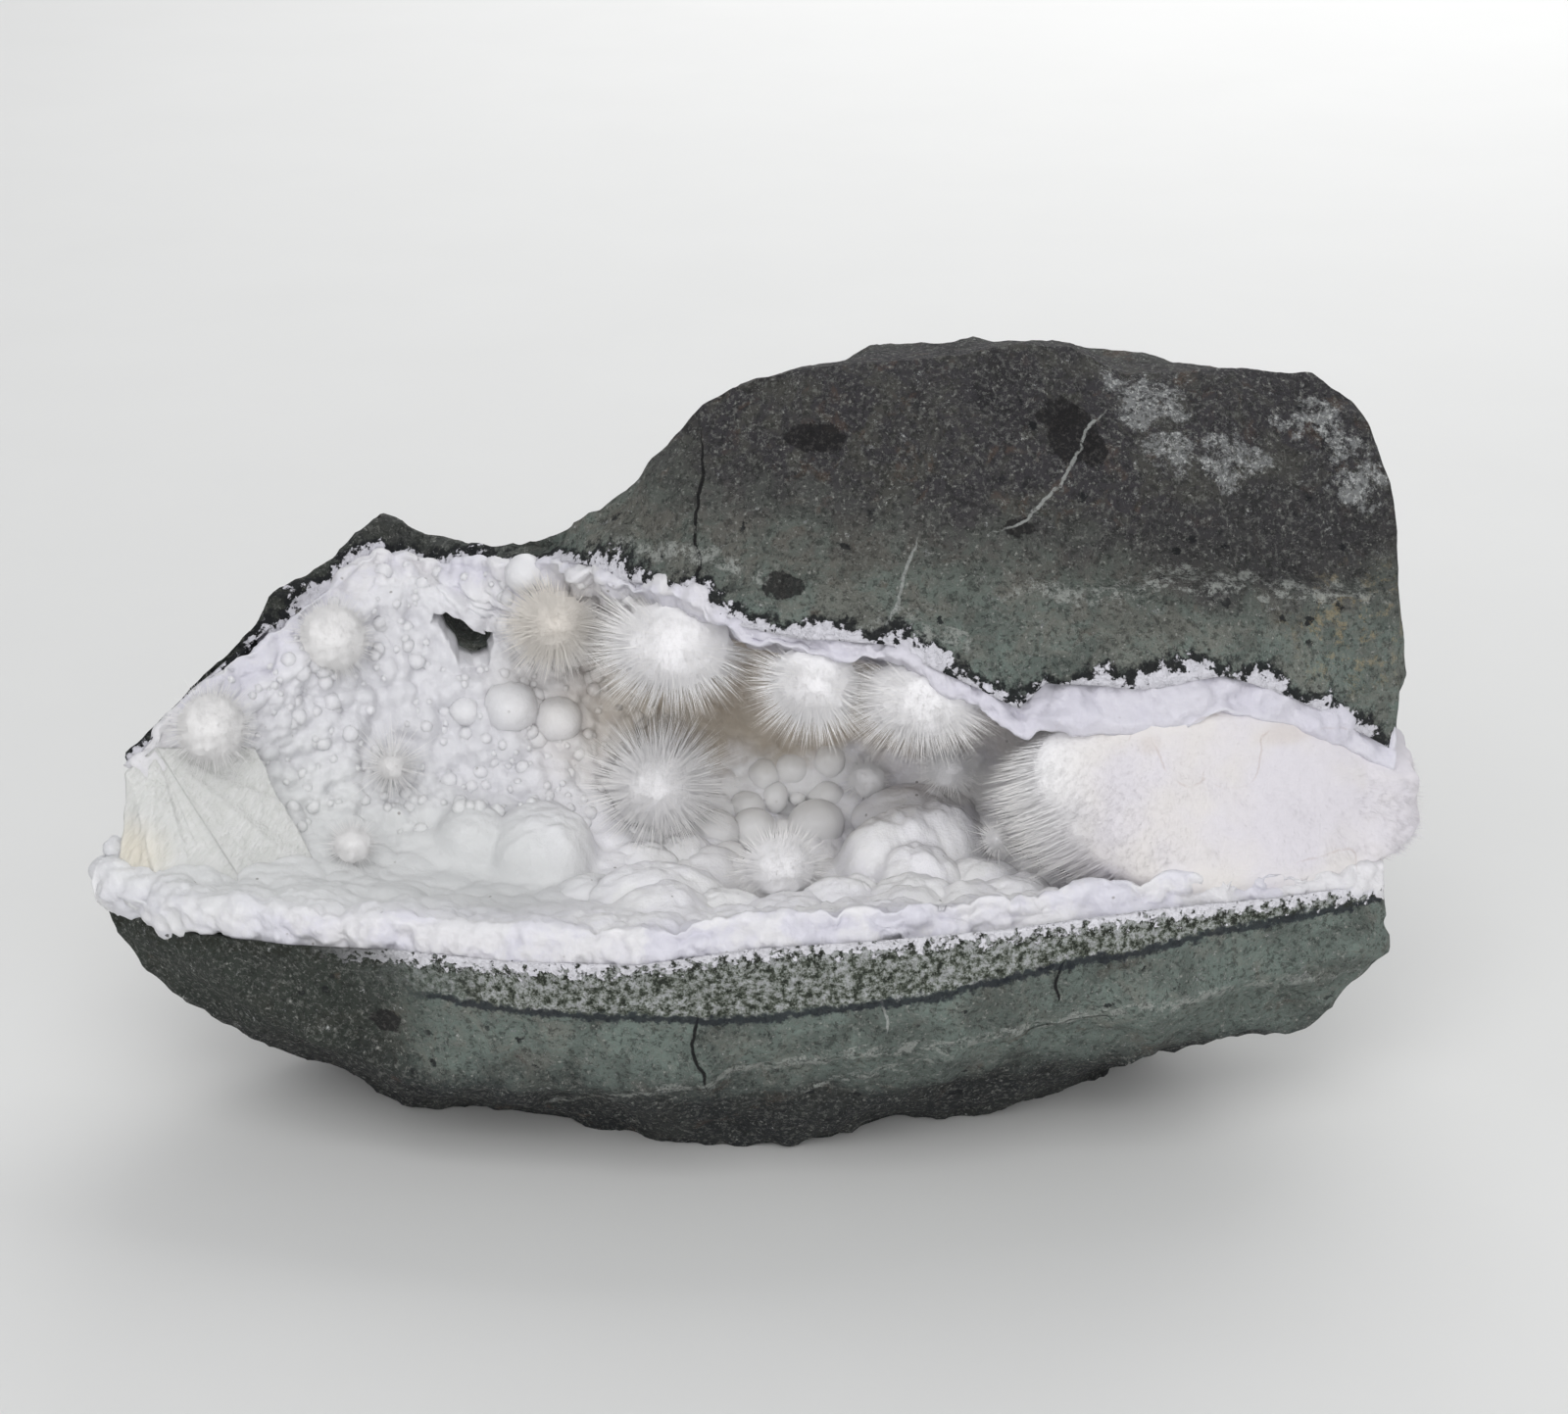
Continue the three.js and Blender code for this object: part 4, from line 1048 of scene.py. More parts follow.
# %% Hole
HOLE = {
    "centre": HOLE_AT, "pitch": 0.2, "turn": -0.092, "depth": 56, "steps": 30, "wide": 1.25,
    "outline": [[-2.8, 2.2], [-1.6, 2.3], [-0.8, 1.6], [0.2, 1.4], [1, 0.6], [1.8, 0.1],
                [2.9, 0], [2.8, -0.6], [2.4, -1.4], [2.2, -2.2], [0.8, -2.4], [-0.5, -1.9],
                [-0.8, -1], [-1.6, -0.2], [-2.2, 1.2], [-3.1, 1.6]],
}


def ragged_prism(centre, pitch, turn, depth, steps, wide, outline):
    """The outline, divided finely and roughened, carried backwards and upwards."""
    corners = np.array(outline + outline[:1], float)
    around = np.linspace(0, len(outline), 5 * len(outline), endpoint=False)
    grid = np.zeros((steps, len(around), 3))
    for k in (0, 1):
        grid[..., k] = np.interp(around, np.arange(len(corners)), corners[:, k])
    grid[..., 2] = np.linspace(-depth / 2, depth / 2, steps)[:, None]
    grid[..., :2] *= wide + 0.16 * rough(grid, 1.1, 3, salt=131)[..., None]
    tilt = math.pi / 2 + pitch
    inwards = grid[..., 1] * math.cos(tilt) - grid[..., 2] * math.sin(tilt)
    upwards = grid[..., 1] * math.sin(tilt) + grid[..., 2] * math.cos(tilt)
    rings = np.stack([grid[..., 0] + turn * inwards, inwards, upwards], -1) + centre
    return mesh_of("hole_cutter", *closed_rings(rings, rings[0].mean(0), rings[-1].mean(0)))


def cut_out(piece, tool):
    """Cuts a closed object out of the piece, and keeps the result as the piece's mesh."""
    step = piece.modifiers.new("cut", "BOOLEAN")
    step.operation = "DIFFERENCE"
    step.solver = "MANIFOLD"
    step.object = tool
    shown = piece.evaluated_get(bpy.context.evaluated_depsgraph_get())
    made = bpy.data.meshes.new_from_object(shown)
    piece.modifiers.clear()
    piece.data = made


cutter = ragged_prism(**HOLE)
cut_out(crust, cutter)
cut_out(basalt, cutter)
bpy.data.objects.remove(cutter)

# %% [markdown]
# ## Needles
# Okenite grows as balls of needles finer than hair. The middle of a ball is white, and the
# tips stand alone round it as a haze. A hair system would look right, but it isn't mesh, so
# each needle is a pyramid of three sides, whose tip is as thin as a pixel at most.
# The ones that would run into the crust or the rock are left out.

# %% Needles
def random_numbers(seed, *shape):
    return np.random.default_rng(seed).random(shape)


def ball_directions(count, seed):
    """Directions spread evenly over a sphere, by turns of the golden angle, then jogged."""
    k = np.arange(count) + 0.5
    z = 1 - 2 * k / count
    turn = math.pi * (3 - math.sqrt(5)) * k
    ring = np.sqrt(1 - z ** 2)
    even = np.stack([ring * np.cos(turn), ring * np.sin(turn), z], 1)
    jog = (random_numbers(seed, count, 3) - 0.5) * 2.4 / math.sqrt(count)
    return unit(even + jog)


def needles(roots, tips, thickness, first):
    """Pyramids: three points round each root and one at its tip."""
    along = unit(tips - roots)
    helper = np.where(np.abs(along[:, 2:]) < 0.9, [[0.0, 0.0, 1.0]], [[1.0, 0.0, 0.0]])
    side = unit(np.cross(along, helper))
    other = np.cross(along, side)
    corners = [roots + thickness[:, None] * (math.cos(a) * side + math.sin(a) * other)
               for a in (0, 2 * math.pi / 3, 4 * math.pi / 3)]
    points = np.stack([*corners, tips], 1).reshape(-1, 3)
    pattern = np.array([[0, 1, 3], [1, 2, 3], [2, 0, 3], [0, 2, 1]])
    faces = (first + 4 * np.arange(len(roots)))[:, None, None] + pattern
    return points, faces.reshape(-1, 3)


# %% Height over the crust
FACE_TREE = KDTree(face.shape[0] * face.shape[1])
for number, place in enumerate(face.reshape(-1, 3)):
    FACE_TREE.insert(place, number)
FACE_TREE.balance()


def stand_off(points):
    """Height over the crust's face: along the wall's normal at the nearest point of it."""
    nearest = np.array([FACE_TREE.find(p)[1] for p in points])
    away = points - face.reshape(-1, 3)[nearest]
    return np.sum(away * crust_normals.reshape(-1, 3)[nearest], axis=1)


# %% Ball of needles
def at_tips(values):
    """One value per needle, as it is stored: 0 at the three points of its root."""
    return np.tile([0, 0, 0, 1.0], len(values)) * np.repeat(values, 4)


def shade_as(piece, normals):
    """Gives each point a normal for shading, so that needles take light as a ball does."""
    piece.data.normals_split_custom_set_from_vertices(normals)


MOUTH = unit(np.array([0.0, -1.0, 0.3]))  # the way the hollow opens
USUAL = {"thick": 0.045, "lean": 2.6, "long": 0.4}  # where a ball doesn't say otherwise
CORE_RINGS = 30
STRAYS = 0.02  # part of the needles that stand out farthest and are the thickest


def pile(at, radii, seed, ball):
    """Directions, roots, tips, lengths and thicknesses of one ball's needles.

    Most are a short pile on the core, and the part `long` of them are hairs that stand
    alone, in clumps. Those whose tip or root would be in the crust are left out.
    """
    out = ball_directions(ball["needles"], seed)
    draws = random_numbers(seed + 1, len(out), 3)
    clump = 0.5 + 0.5 * blotches(out * radii, 1.2, 300 + seed)
    hairs, stray = draws[:, 2] < ball["long"], draws[:, 2] < STRAYS
    far = np.where(hairs, draws[:, 0] ** 1.5, 0)
    reach = np.where(hairs, ball["tips"] * np.clip(0.12 + far * (0.55 + 0.5 * clump), 0, 1),
                     0.25 + 0.6 * draws[:, 0] ** 2)
    reach = np.where(stray, ball["tips"] * (0.75 + 0.3 * draws[:, 0]), reach)
    lean = (random_numbers(seed + 2, len(out), 3) - 0.5) * 0.4
    ends = at + out * radii + unit(out + lean) * reach[:, None]
    free = np.minimum(stand_off(ends), stand_off(at + out * radii * 1.02)) > 0.15
    thick = ball["thick"] * (0.3 + 0.7 * draws[:, 1] ** 2) * (0.7 + 0.6 * far)
    thick = np.where(stray, 1.3 * ball["thick"], thick)
    return [each[free] for each in (out, at + out * radii * 0.9, ends, reach, thick)]


def puffball(name, balls):
    """Balls of needles as one piece: each ball is its core and its needles.

    Needles scatter light between them, so their normals for shading are the ball's own,
    leaned towards the mouth of the hollow. `tip` is stored per point, for the colour.
    """
    points, faces, shading, tips = [], [], [], []
    count = 0
    for number, ball in enumerate(balls):
        ball, seed = {**USUAL, **ball}, 7 + 10 * number
        at, radii = np.array(ball["at"], float), np.array(ball["core"], float)
        core, core_faces = core_points(at, radii, CORE_RINGS, 200 + seed, 0.5, 0.9)
        out, roots, ends, reach, thick = pile(at, radii, seed, ball)
        hair, hair_faces = needles(roots, ends, thick, count + len(core))
        points += [core, hair]
        faces += [core_faces + count, hair_faces]
        shading += [unit(unit(core - at) + ball["lean"] * MOUTH),
                    np.repeat(unit(out + ball["lean"] * MOUTH), 4, axis=0)]
        tips += [np.zeros(len(core)), at_tips(reach) / ball["tips"]]
        count += len(core) + len(hair)
    piece = mesh_of(name + "_fibres", np.concatenate(points), np.concatenate(faces))
    shade_as(piece, np.concatenate(shading))
    set_values(piece, "tip", np.concatenate(tips))
    return piece


# %% [markdown]
# ## The puffballs
# Each ball stands where it grew: in the roof of the hollow, on its wall or on its floor.

# %% Puffballs
PUFFBALLS = {
    "puffball_left": [
        {"at": [-62.3, -12, 46.2], "core": [3.7, 3.7, 3.7], "tips": 3, "needles": 7000,
         "thick": 0.04, "lean": 2.5, "long": 0.3}],
    "puffball_upper_left": [
        {"at": [-49.8, 1, 51.9], "core": [3.8, 3.6, 3.8], "tips": 2.4, "needles": 7000,
         "thick": 0.04, "lean": 2.5, "long": 0.3}],
    "puffballs_roof": [
        {"at": [-23.7, 2, 53.4], "core": [3.9, 3.6, 3.3], "tips": 4.6, "needles": 9000,
         "thick": 0.045, "lean": 1.8, "long": 0.8},
        {"at": [-10, -5.6, 53.9], "core": [6.6, 5.6, 4.8], "tips": 5.4, "needles": 16000},
        {"at": [5.9, -12.4, 51.9], "core": [4.5, 4.4, 4.4], "tips": 4.8, "needles": 12000},
        {"at": [18.2, -13.2, 50.6], "core": [6.4, 4.9, 4.5], "tips": 5, "needles": 15000}],
    "puffball_centre": [
        {"at": [-12.3, 0.8, 33.4], "core": [4.6, 4.6, 4.6], "tips": 6.8, "needles": 15000,
         "lean": 3}],
    "puffball_front": [
        {"at": [2, -14, 29.6], "core": [3.9, 3.5, 3.1], "tips": 3.4, "needles": 7500}],
    "puffball_floor": [
        {"at": [-47, -11.5, 31.4], "core": [2.1, 2.1, 2], "tips": 2.2, "needles": 2200,
         "thick": 0.04, "lean": 3}],
    "puffball_wall": [
        {"at": [-43, -4, 38], "core": [1.5, 1.5, 1.5], "tips": 6, "needles": 1000,
         "thick": 0.045, "lean": 4, "long": 0.8}],
    "puffball_grey": [
        {"at": [12.4, 8.4, 31], "core": [2, 2, 2], "tips": 2.2, "needles": 2600, "lean": 2.5}],
    "puffball_ledge": [
        {"at": [21.7, 0, 36], "core": [2.2, 2.2, 1.9], "tips": 3, "needles": 3600,
         "lean": 2.5}],
    "puffball_tuft": [
        {"at": [26.8, -11.2, 32], "core": [0.9, 0.9, 0.9], "tips": 3, "needles": 1200,
         "long": 0.8, "lean": 2.5}],
}
balls = {name: puffball(name, parts) for name, parts in PUFFBALLS.items()}

# %% [markdown]
# ## The great ball
# The largest ball filled the right end of the hollow and was broken off level with its
# mouth. So its front is worked out from the mouth itself: at every place along the rock it
# spans the crust's two edges. Its left side is still whole and has its long fringe.

# %% Great ball: shape
GREAT = {"middle": 52.0, "deep": 22.0, "sunk": -0.5, "rings": 200, "around": 160,
         "section": 9.0, "tuck": 1.26, "ends": (4.6, 6.5), "directions": 63000,
         "tips": 6.4, "right_tips": 2.4, "seed": 501}
GREAT_LEFT = ([-1, -0.6, -0.2, 0.3, 1], [42, 37.5, 33.3, 30.3, 29.8])  # height, x of the end
GREAT_RIGHT = ([-1, -0.7, -0.3, 0.5, 0.8, 1], [69.5, 72.4, 74.4, 74.2, 71, 68.5])
MOUTH_LINES = [along_mean(face[:, row], 22) for row in (0, -1)]


def great_point(out):
    """Where a direction leaves the ball.

    In its own space it is a blunt block: the ninth powers of depth and height make its
    section square. The powers of section and length make its left end round and its right
    end blunt. That space is then laid over the mouth: height runs between the crust's
    edges, and depth runs inwards across the line between them, but straight back at the
    right end, where the ball fills the broken crust.
    """
    length, depth, high = np.moveaxis(out, -1, 0)
    p, q = GREAT["section"], np.where(length < 0, *GREAT["ends"])
    section = (np.abs(depth) ** p + np.abs(high) ** p) ** (1 / p)
    scale = (np.abs(length) ** q + section ** q) ** (-1 / q)
    length, depth, high = length * scale, depth * scale, high * scale
    middle = GREAT["middle"]
    left, right = middle - np.interp(high, *GREAT_LEFT), np.interp(high, *GREAT_RIGHT) - middle
    right = right + 0.7 * rough(np.stack([9 * high, 9 * depth, 0 * high], -1), 3, 3, salt=411)
    x = middle + np.where(length < 0, left, right) * length
    low, up = (np.stack([np.interp(x, line[:, 0], line[:, k]) for k in (1, 2)], -1)
               for line in MOUTH_LINES)
    half = (up - low) / 2
    end = rise(x, 58, 67)[..., None]
    inward = unit(unit(np.stack([half[..., 1], -half[..., 0]], -1)) * (1 - end) + end * [1.0, 0.0])
    front = (up + low) / 2 + GREAT["tuck"] * half * high[..., None]
    reach = GREAT["deep"] + (1.4 - front[..., 0] - GREAT["deep"]) * end[..., 0]
    side = front + inward * (reach * (1 + depth) / 2 + GREAT["sunk"])[..., None]
    side[..., 1] += end[..., 0] * rise(depth, -1, -0.3) * np.where(high < 0, 2.4, 1.2) * high
    return np.concatenate([x[..., None], side], -1)


def felt(points):
    """Relief of broken fibres: soft swells, then a fine pile."""
    end = rise(points[..., 0], 64, 71)
    return ((0.45 + 0.5 * end) * rough(points, 9, 3, salt=401)
            + 0.6 * end * rough(points, 3, 3, salt=403) + 0.16 * rough(points, 0.9, 2, salt=405))


polar, around = angles(GREAT["rings"], GREAT["around"])
great_face = great_point(np.stack([-np.cos(polar), np.sin(polar) * np.cos(around),
                                   np.sin(polar) * np.sin(around)], -1))
great_face = great_face + ring_normals(great_face) * felt(great_face)[..., None]
great_points, great_faces = closed_rings(great_face, great_face[0].mean(0),
                                         great_face[-1].mean(0))
print("body of the great ball:", len(great_faces), "triangles")

# %% Great ball: fringe
FRINGE_WAY = np.array([-1.0, -0.35, -0.45])  # left-hand needles hang this way

out = ball_directions(GREAT["directions"], GREAT["seed"])
draws = random_numbers(GREAT["seed"] + 1, len(out), 6)
left_side, right_side = rise(-out[:, 0], 0.5, 0.88), rise(out[:, 0], 0.6, 0.95)
chosen = (out[:, 1] < 0.25 + right_side) & (draws[:, 5] < 0.45 + 0.25 * left_side)
out, draws, left_side, right_side = (
    each[chosen] for each in (out, draws, left_side, right_side))
skin = great_point(out)
far = draws[:, 0] ** 3
reach = 0.3 + 0.3 * draws[:, 0]
reach = reach + (GREAT["tips"] * (0.06 + 0.94 * far) - 0.3) * left_side
reach = reach + GREAT["right_tips"] * draws[:, 0] ** 4 * right_side
heading = unit(unit(out * [1, 0.8, 0.5]) * 0.8 + 0.35 * (draws[:, 1:4] - 0.5)
               + FRINGE_WAY * left_side[:, None])
ends = skin + heading * reach[:, None]
inside_box = np.all(np.abs(ends - keep_in_box(ends)) < 1e-9, axis=1)
free = (stand_off(ends) > 0.1) & inside_box
thickness = (0.025 + 0.04 * draws[:, 4] ** 2) * (0.8 + 0.6 * left_side * far)
hair, hair_faces = needles((skin - 0.5 * heading)[free], ends[free], thickness[free],
                           len(great_points))
print("fringe:", int(free.sum()), "needles")

# %% Great ball: mesh and shading
great = mesh_of("puffball_great_fibres", keep_in_box(np.concatenate([great_points, hair])),
                np.concatenate([great_faces[:, ::-1], hair_faces]))
body_normals = stored(great, "normal")[:len(great_points)]
shade_as(great, unit(np.concatenate([
    unit(body_normals + MOUTH * (0.6 + 2.4 * rise(-great_points[:, :1], -46, -38))),
    np.repeat(unit(heading[free] * 0.2 * left_side[free, None] + MOUTH), 4, axis=0)])))
set_values(great, "tip", np.concatenate(
    [np.zeros(len(great_points)), at_tips(left_side[free] * far[free])]))

# %% [markdown]
# ## Distances that the finishes follow
# The rock's colours follow its shape: dark and white fringes run along the lips, a mottled
# zone hangs under the lower one, and veins and cracks cross the front. Each is a line, and
# each point of the mesh stores how far it is from that line. A distance is smooth between
# points, so a thin vein stays sharp on a coarse mesh, which a painted colour wouldn't.

# %% Distances
FAR = 9.0  # what is stored where no line is near


def nearest_on(points, line):
    """For each point, the number and the distance of the nearest of a line's points."""
    tree = KDTree(len(line))
    for number, place in enumerate(line):
        tree.insert(place, number)
    tree.balance()
    return map(np.array, zip(*(tree.find(p)[1:] for p in points)))


def distance_to(points, line):
    return list(nearest_on(points, line))[1]


def drawn(line, wiggle, salt):
    """Points every 0.1 mm or closer along a line of [x, z] places, moved by noise."""
    knots = np.array(line, float)
    along = np.arange(len(knots))
    at = np.linspace(0, along[-1], 120 * along[-1])
    curve = through(along, knots, at)
    points = np.stack([curve[:, 0], 0 * at, curve[:, 1]], 1)
    return points + wiggle * np.stack([rough(points, 3.5, 4, salt + k) for k in range(3)],
                                      1) * [1, 0, 1]


def set_lines(piece, name, lines, wiggle, front):
    """Stores the distance from the nearest of several lines on the front, with its side.

    The distance is positive above a line and negative below it, so it runs evenly through
    zero between two points of the mesh, and the line can be thinner than their spacing.
    `loss` is 0 along a line, 1 at its ends, and more away from it, where sides change.
    """
    ways = [drawn(line, wiggle, 601 + 7 * k) for k, line in enumerate(lines)]
    tangents = np.concatenate([np.gradient(along_mean(way, 5), axis=0) for way in ways])
    parts = [np.linspace(0, 1, len(way)) for way in ways]
    taper = np.concatenate([np.minimum(1, 7 * part * (1 - part)) for part in parts])
    here = points_of(piece)[front] * [1, 0, 1]
    numbers, distances = nearest_on(here, np.concatenate(ways))
    away = here - np.concatenate(ways)[numbers]
    tangent = tangents[numbers]
    side = np.where(tangent[:, 0] * away[:, 2] - tangent[:, 2] * away[:, 0] < 0, -1, 1)
    value, loss = np.full(len(front), 4.0), np.full(len(front), FAR)
    value[front] = side * np.minimum(distances, 4)
    loss[front] = 1 - taper[numbers] + 9 * rise(distances, 0.8, 1.6)
    set_values(piece, name, value)
    set_values(piece, name + "_loss", loss)


# %% Veins, cracks and seams
# Each line is a row of [x, z] places on the front.
THIN_VEINS = [
    [[38.6, 80.2], [36.2, 78.5], [35.1, 76.1], [33.6, 73.9], [31.9, 72.7], [29, 69.9],
     [25.5, 68.2]],
    [[17.4, 67.6], [16.2, 65.3], [15, 63.2], [14.6, 61], [13.9, 59.3], [14.2, 56.5]],
    [[-6.3, 29.4], [-6.6, 26], [-6.4, 22.8]], [[13.2, 26.4], [13.9, 23], [13.8, 19.7]],
]
SOFT_VEINS = [
    [[13.8, 61.9], [18.5, 59.2], [21, 58.4], [23.4, 57.2]],
    [[8, 59.6], [11.3, 58.9], [13.9, 59.3]],
    [[-17.4, 64.1], [-13, 64.4], [-8.1, 65], [-3, 64.6], [1.6, 63.6]],
    [[27, 61.5], [31, 63.2], [38.4, 62.8], [46.1, 63.2], [57, 62], [64, 61.4], [70.5, 60.1]],
    [[-24, 6.8], [-14.8, 11.1], [-6.3, 13.5], [2.6, 15.3], [10.1, 17.1], [19.5, 18.1],
     [30.5, 18.4], [37, 19.5], [43.6, 20.7], [56, 20.8], [69, 20.5]],
    [[2, 10.5], [8, 12.4], [15, 14.6], [21, 16]],
]
CRACKS = [
    [[-7.2, 77.5], [-6.8, 73], [-7.4, 69], [-7, 65], [-7.6, 61.7], [-7.3, 58]],
    [[-6.6, 22.8], [-7.3, 19], [-7, 16], [-6.2, 12]], [[33.5, 27.5], [32.6, 24.5], [33, 22]],
]
ZONE = [  # lower edge of the mottled zone
    [-75, 24.5], [-60, 25], [-42.7, 24], [-29.7, 23], [-16.8, 22.3], [-1.8, 21.9], [13.2, 24],
    [23.7, 25.5], [34.4, 27.3], [51, 28.7], [68.2, 29.4]]
SEAMS = [  # round the lumps of the upper band, then a crack low on the great ball
    [[32.9, 47.2], [32.5, 48.2], [32.6, 49.3], [33.2, 50.6], [34.4, 51.2], [35.6, 50.9]],
    [[43.2, 47.8], [43.9, 46.8], [45, 44.6], [47, 43.3], [48.6, 43.6], [48.9, 44.6]],
    [[46.6, 45.5], [46.7, 47.5], [47.9, 49.2], [49.6, 49.9], [51.4, 49.7]],
    [[49, 43.9], [51.5, 42.8], [54.5, 43.2], [55.4, 45.6], [55.6, 47.4], [57.5, 47.9]],
    [[60.2, 47.6], [63.6, 47.2], [66, 46.6]], [[39.4, 47], [40.6, 47.6], [41.4, 49.6]],
    [[59.5, 34.1], [62.5, 34.4], [66.5, 34.3], [67, 32.3]],
]

print(sum(map(len, (THIN_VEINS, SOFT_VEINS, CRACKS, SEAMS))), "lines to follow")

# %% Distances on each piece
fine_u = np.linspace(0, 1, 1500)
lips = [(rail(lip, fine_u), rail(beyond, fine_u))
        for lip, beyond in (("upperLip", "ledgeEdge"), ("lowerLip", "breakLow"))]
places = points_of(basalt)
front = places[:, 1] < 8 * rise(places[:, 2], 30, 50)
for name, (lip, _) in zip(("lip_up", "lip_low"), lips):
    set_values(basalt, name, distance_to(places, lip))
for name, lines, wiggle in (("thin_vein", THIN_VEINS, 0.9), ("soft_vein", SOFT_VEINS, 1.2),
                            ("crack", CRACKS, 0.8)):
    set_lines(basalt, name, lines, wiggle, front)
set_values(basalt, "zone", np.clip(
    places[:, 2] - np.interp(places[:, 0], *np.array(ZONE).T), -20, 20))

edge_lines = np.concatenate([lip + 0.8 * unit(beyond - lip) for lip, beyond in lips])
set_values(crust, "edge_mm", distance_to(points_of(crust), edge_lines))
set_values(lumps, "edge_mm", np.full(len(lumps.data.vertices), FAR))
for piece in (lumps, *balls.values()):
    set_values(piece, "seam_loss", np.full(len(piece.data.vertices), FAR))
for piece in (crust, great):
    places = points_of(piece)
    set_lines(piece, "seam", SEAMS, 0.35, (places[:, 0] > 30) & (places[:, 1] < -8))
print("points on the front of the rock:", int(front.sum()))

# %% [markdown]
# ## Finish of the basalt
# The rock is purple-grey above and green below, where the minerals of the hollow soaked
# into it, and everywhere it is full of crystals that are smaller than a millimetre. The
# colours are layers: each mask is a distance or a noise, and mixes one more colour in.
# The foot and a scooped hollow at the upper right also get painted shade.

# %% Basalt finish: places and noises
GREEN = (0.262, 0.322, 0.288)
DULL = (0.300, 0.318, 0.280)
PURPLE = (0.064, 0.060, 0.067)
OLIVE = (0.018, 0.021, 0.014)
DEEP = (0.012, 0.014, 0.017)
PALE = (0.78, 0.79, 0.79)
EVEN = 0.5  # roughness of a noise that only pushes places about
GRIT = (1.1, 4, 0.65)  # size, detail and roughness of the noise that frays edges

rock_paint = Paint("broken_basalt", Roughness=0.82, Specular_IOR_Level=0.35)
at = rock_paint.place()
wander = at.noise(5, 3, EVEN, "Color")
grit = at.noise(*GRIT, "Color")
bent = at.moved(wander, 9)
across, inwards, height = (bent.part(axis) for axis in range(3))
ragged, jagged = grit.part(0) - 0.5, grit.part(1) - 0.5
blot = bent.noise(11, 4)
tone = bent.noise(4.5, 5, 0.7) + (blot - 0.5) * 0.5
upper = (height + across * 0.13).between(65, 76)
halfway = (height + across * 0.06).between(57, 68)
light_grain = at.noise(0.62, 3, 0.85).between(0.50, 0.60)
dark_grain = at.noise(0.75, 3, 0.8).between(0.47, 0.37)
patchy = at.noise(1.8, 6, 0.8)

# %% Basalt finish: ground colours
teal = height.between(34, 24) * 0.06
rock_paint.colour = (tone - teal).between(0.42, 0.62).mix(GREEN, DULL)
rock_paint.layer(halfway * 0.75, tone.between(0.4, 0.6).mix(
    (0.185, 0.205, 0.180), (0.205, 0.190, 0.165)))
rock_paint.layer(upper, tone.between(0.34, 0.54).mix((0.100, 0.098, 0.088), PURPLE))
rock_paint.layer(across.between(-30, -44) * 0.85, OLIVE)  # the left end
# The foot is darker: partly the rock's own tone, partly painted shade of the underside, which
# faces down.
rock_paint.layer(height.between(17, 9) * 0.95, (0.019, 0.020, 0.025))  # the foot
rock_paint.layer(inwards.between(6, 16) * 0.7, blot.between(0.4, 0.6).mix(  # the back
    (0.075, 0.072, 0.074), (0.085, 0.095, 0.078)))

dark_blots = bent.noise(6, 4).between(0.56, 0.66) * upper
rock_paint.layer(dark_blots * 0.65, (0.026, 0.024, 0.028))
rusty = (bent.noise(3.4, 4) + upper * 0.06).between(0.62, 0.74)
rock_paint.layer(rusty * 0.5, (0.150, 0.100, 0.075))
shade = bent.noise(7.5, 5, 0.65).between(0.60, 0.36)
rock_paint.layer(shade * (1 - upper) * 0.55, (0.070, 0.076, 0.068))
# Painted shade: the scooped hollow at the upper right, which faces down, is painted darker.
scoop_shade = bent.distance((58, -6, 67), (0.42, 0.5, 1)).between(8, 4)
rock_paint.layer(scoop_shade * 0.75, (0.064, 0.062, 0.066))

# %% Basalt finish: grain
salt = at.moved(grit, 0.9).specks(0.62).between(0.34, 0.16)
rock_paint.layer(light_grain * 0.36, (0.40, 0.41, 0.38))
rock_paint.layer(dark_grain * 0.50, (0.022, 0.025, 0.022))
rock_paint.layer(salt * light_grain * 0.55, (0.62, 0.62, 0.58))
vesicles = at.moved(grit, 2.2).specks(2.9).between(0.20, 0.13)
rock_paint.layer(vesicles * blot.between(0.45, 0.6) * 0.9, DEEP)

# %% Basalt finish: patches and inclusions
WHITE_PATCHES = [  # middle in millimetres, reach
    ((45.1, 0.8, 80.7), 6), ((47.2, -3.1, 76), 5), ((54, -3.3, 74.6), 6.5),
    ((68.3, -2, 71.5), 5.5), ((64, 2, 77.4), 5.5), ((41, 0, 83), 4), ((68, 1, 75.5), 4)]
for middle, reach in WHITE_PATCHES:
    near = bent.distance(middle, (1, 0.5, 1.5)).between(reach, reach * 0.3)
    near = (near * 0.22 + patchy).between(0.62, 0.74) * (1 - dark_grain * 0.7)
    rock_paint.layer(near * 0.9, light_grain.mix((0.34, 0.35, 0.35), PALE))
yellow = bent.distance((67, -9.8, 57.2), (0.8, 0.4, 1)).between(8, 3)
rock_paint.layer(yellow * patchy.between(0.52, 0.6) * 0.7, (0.45, 0.38, 0.24))

INCLUSIONS = [  # middle in millimetres, stretch of each axis, reach
    ((35.6, -3.2, 78), (1, 0.5, 1.1), 3.0), ((34.4, -4, 80.3), (0.7, 0.5, 1.1), 2.0),
    ((38, -3, 76.2), (1, 0.5, 1), 1.8), ((29.6, -8.6, 69), (0.6, 0.4, 1), 1.1),
    ((3.2, -11, 62.9), (0.55, 0.4, 1), 1.35), ((-40.9, -31.8, 18.8), (0.9, 0.5, 1), 1.6),
    ((31.6, -33.6, 27.2), (0.8, 0.5, 1), 1.2), ((7, -3, 77.5), (0.45, 0.4, 1), 1.6)]
for middle, stretch, reach in INCLUSIONS:
    edge = at.distance(middle, stretch) + ragged * 1.8
    rock_paint.layer(edge.between(reach + 0.1, reach - 0.15) * 0.85, light_grain.mix(
        (0.014, 0.013, 0.014), (0.05, 0.045, 0.045)))

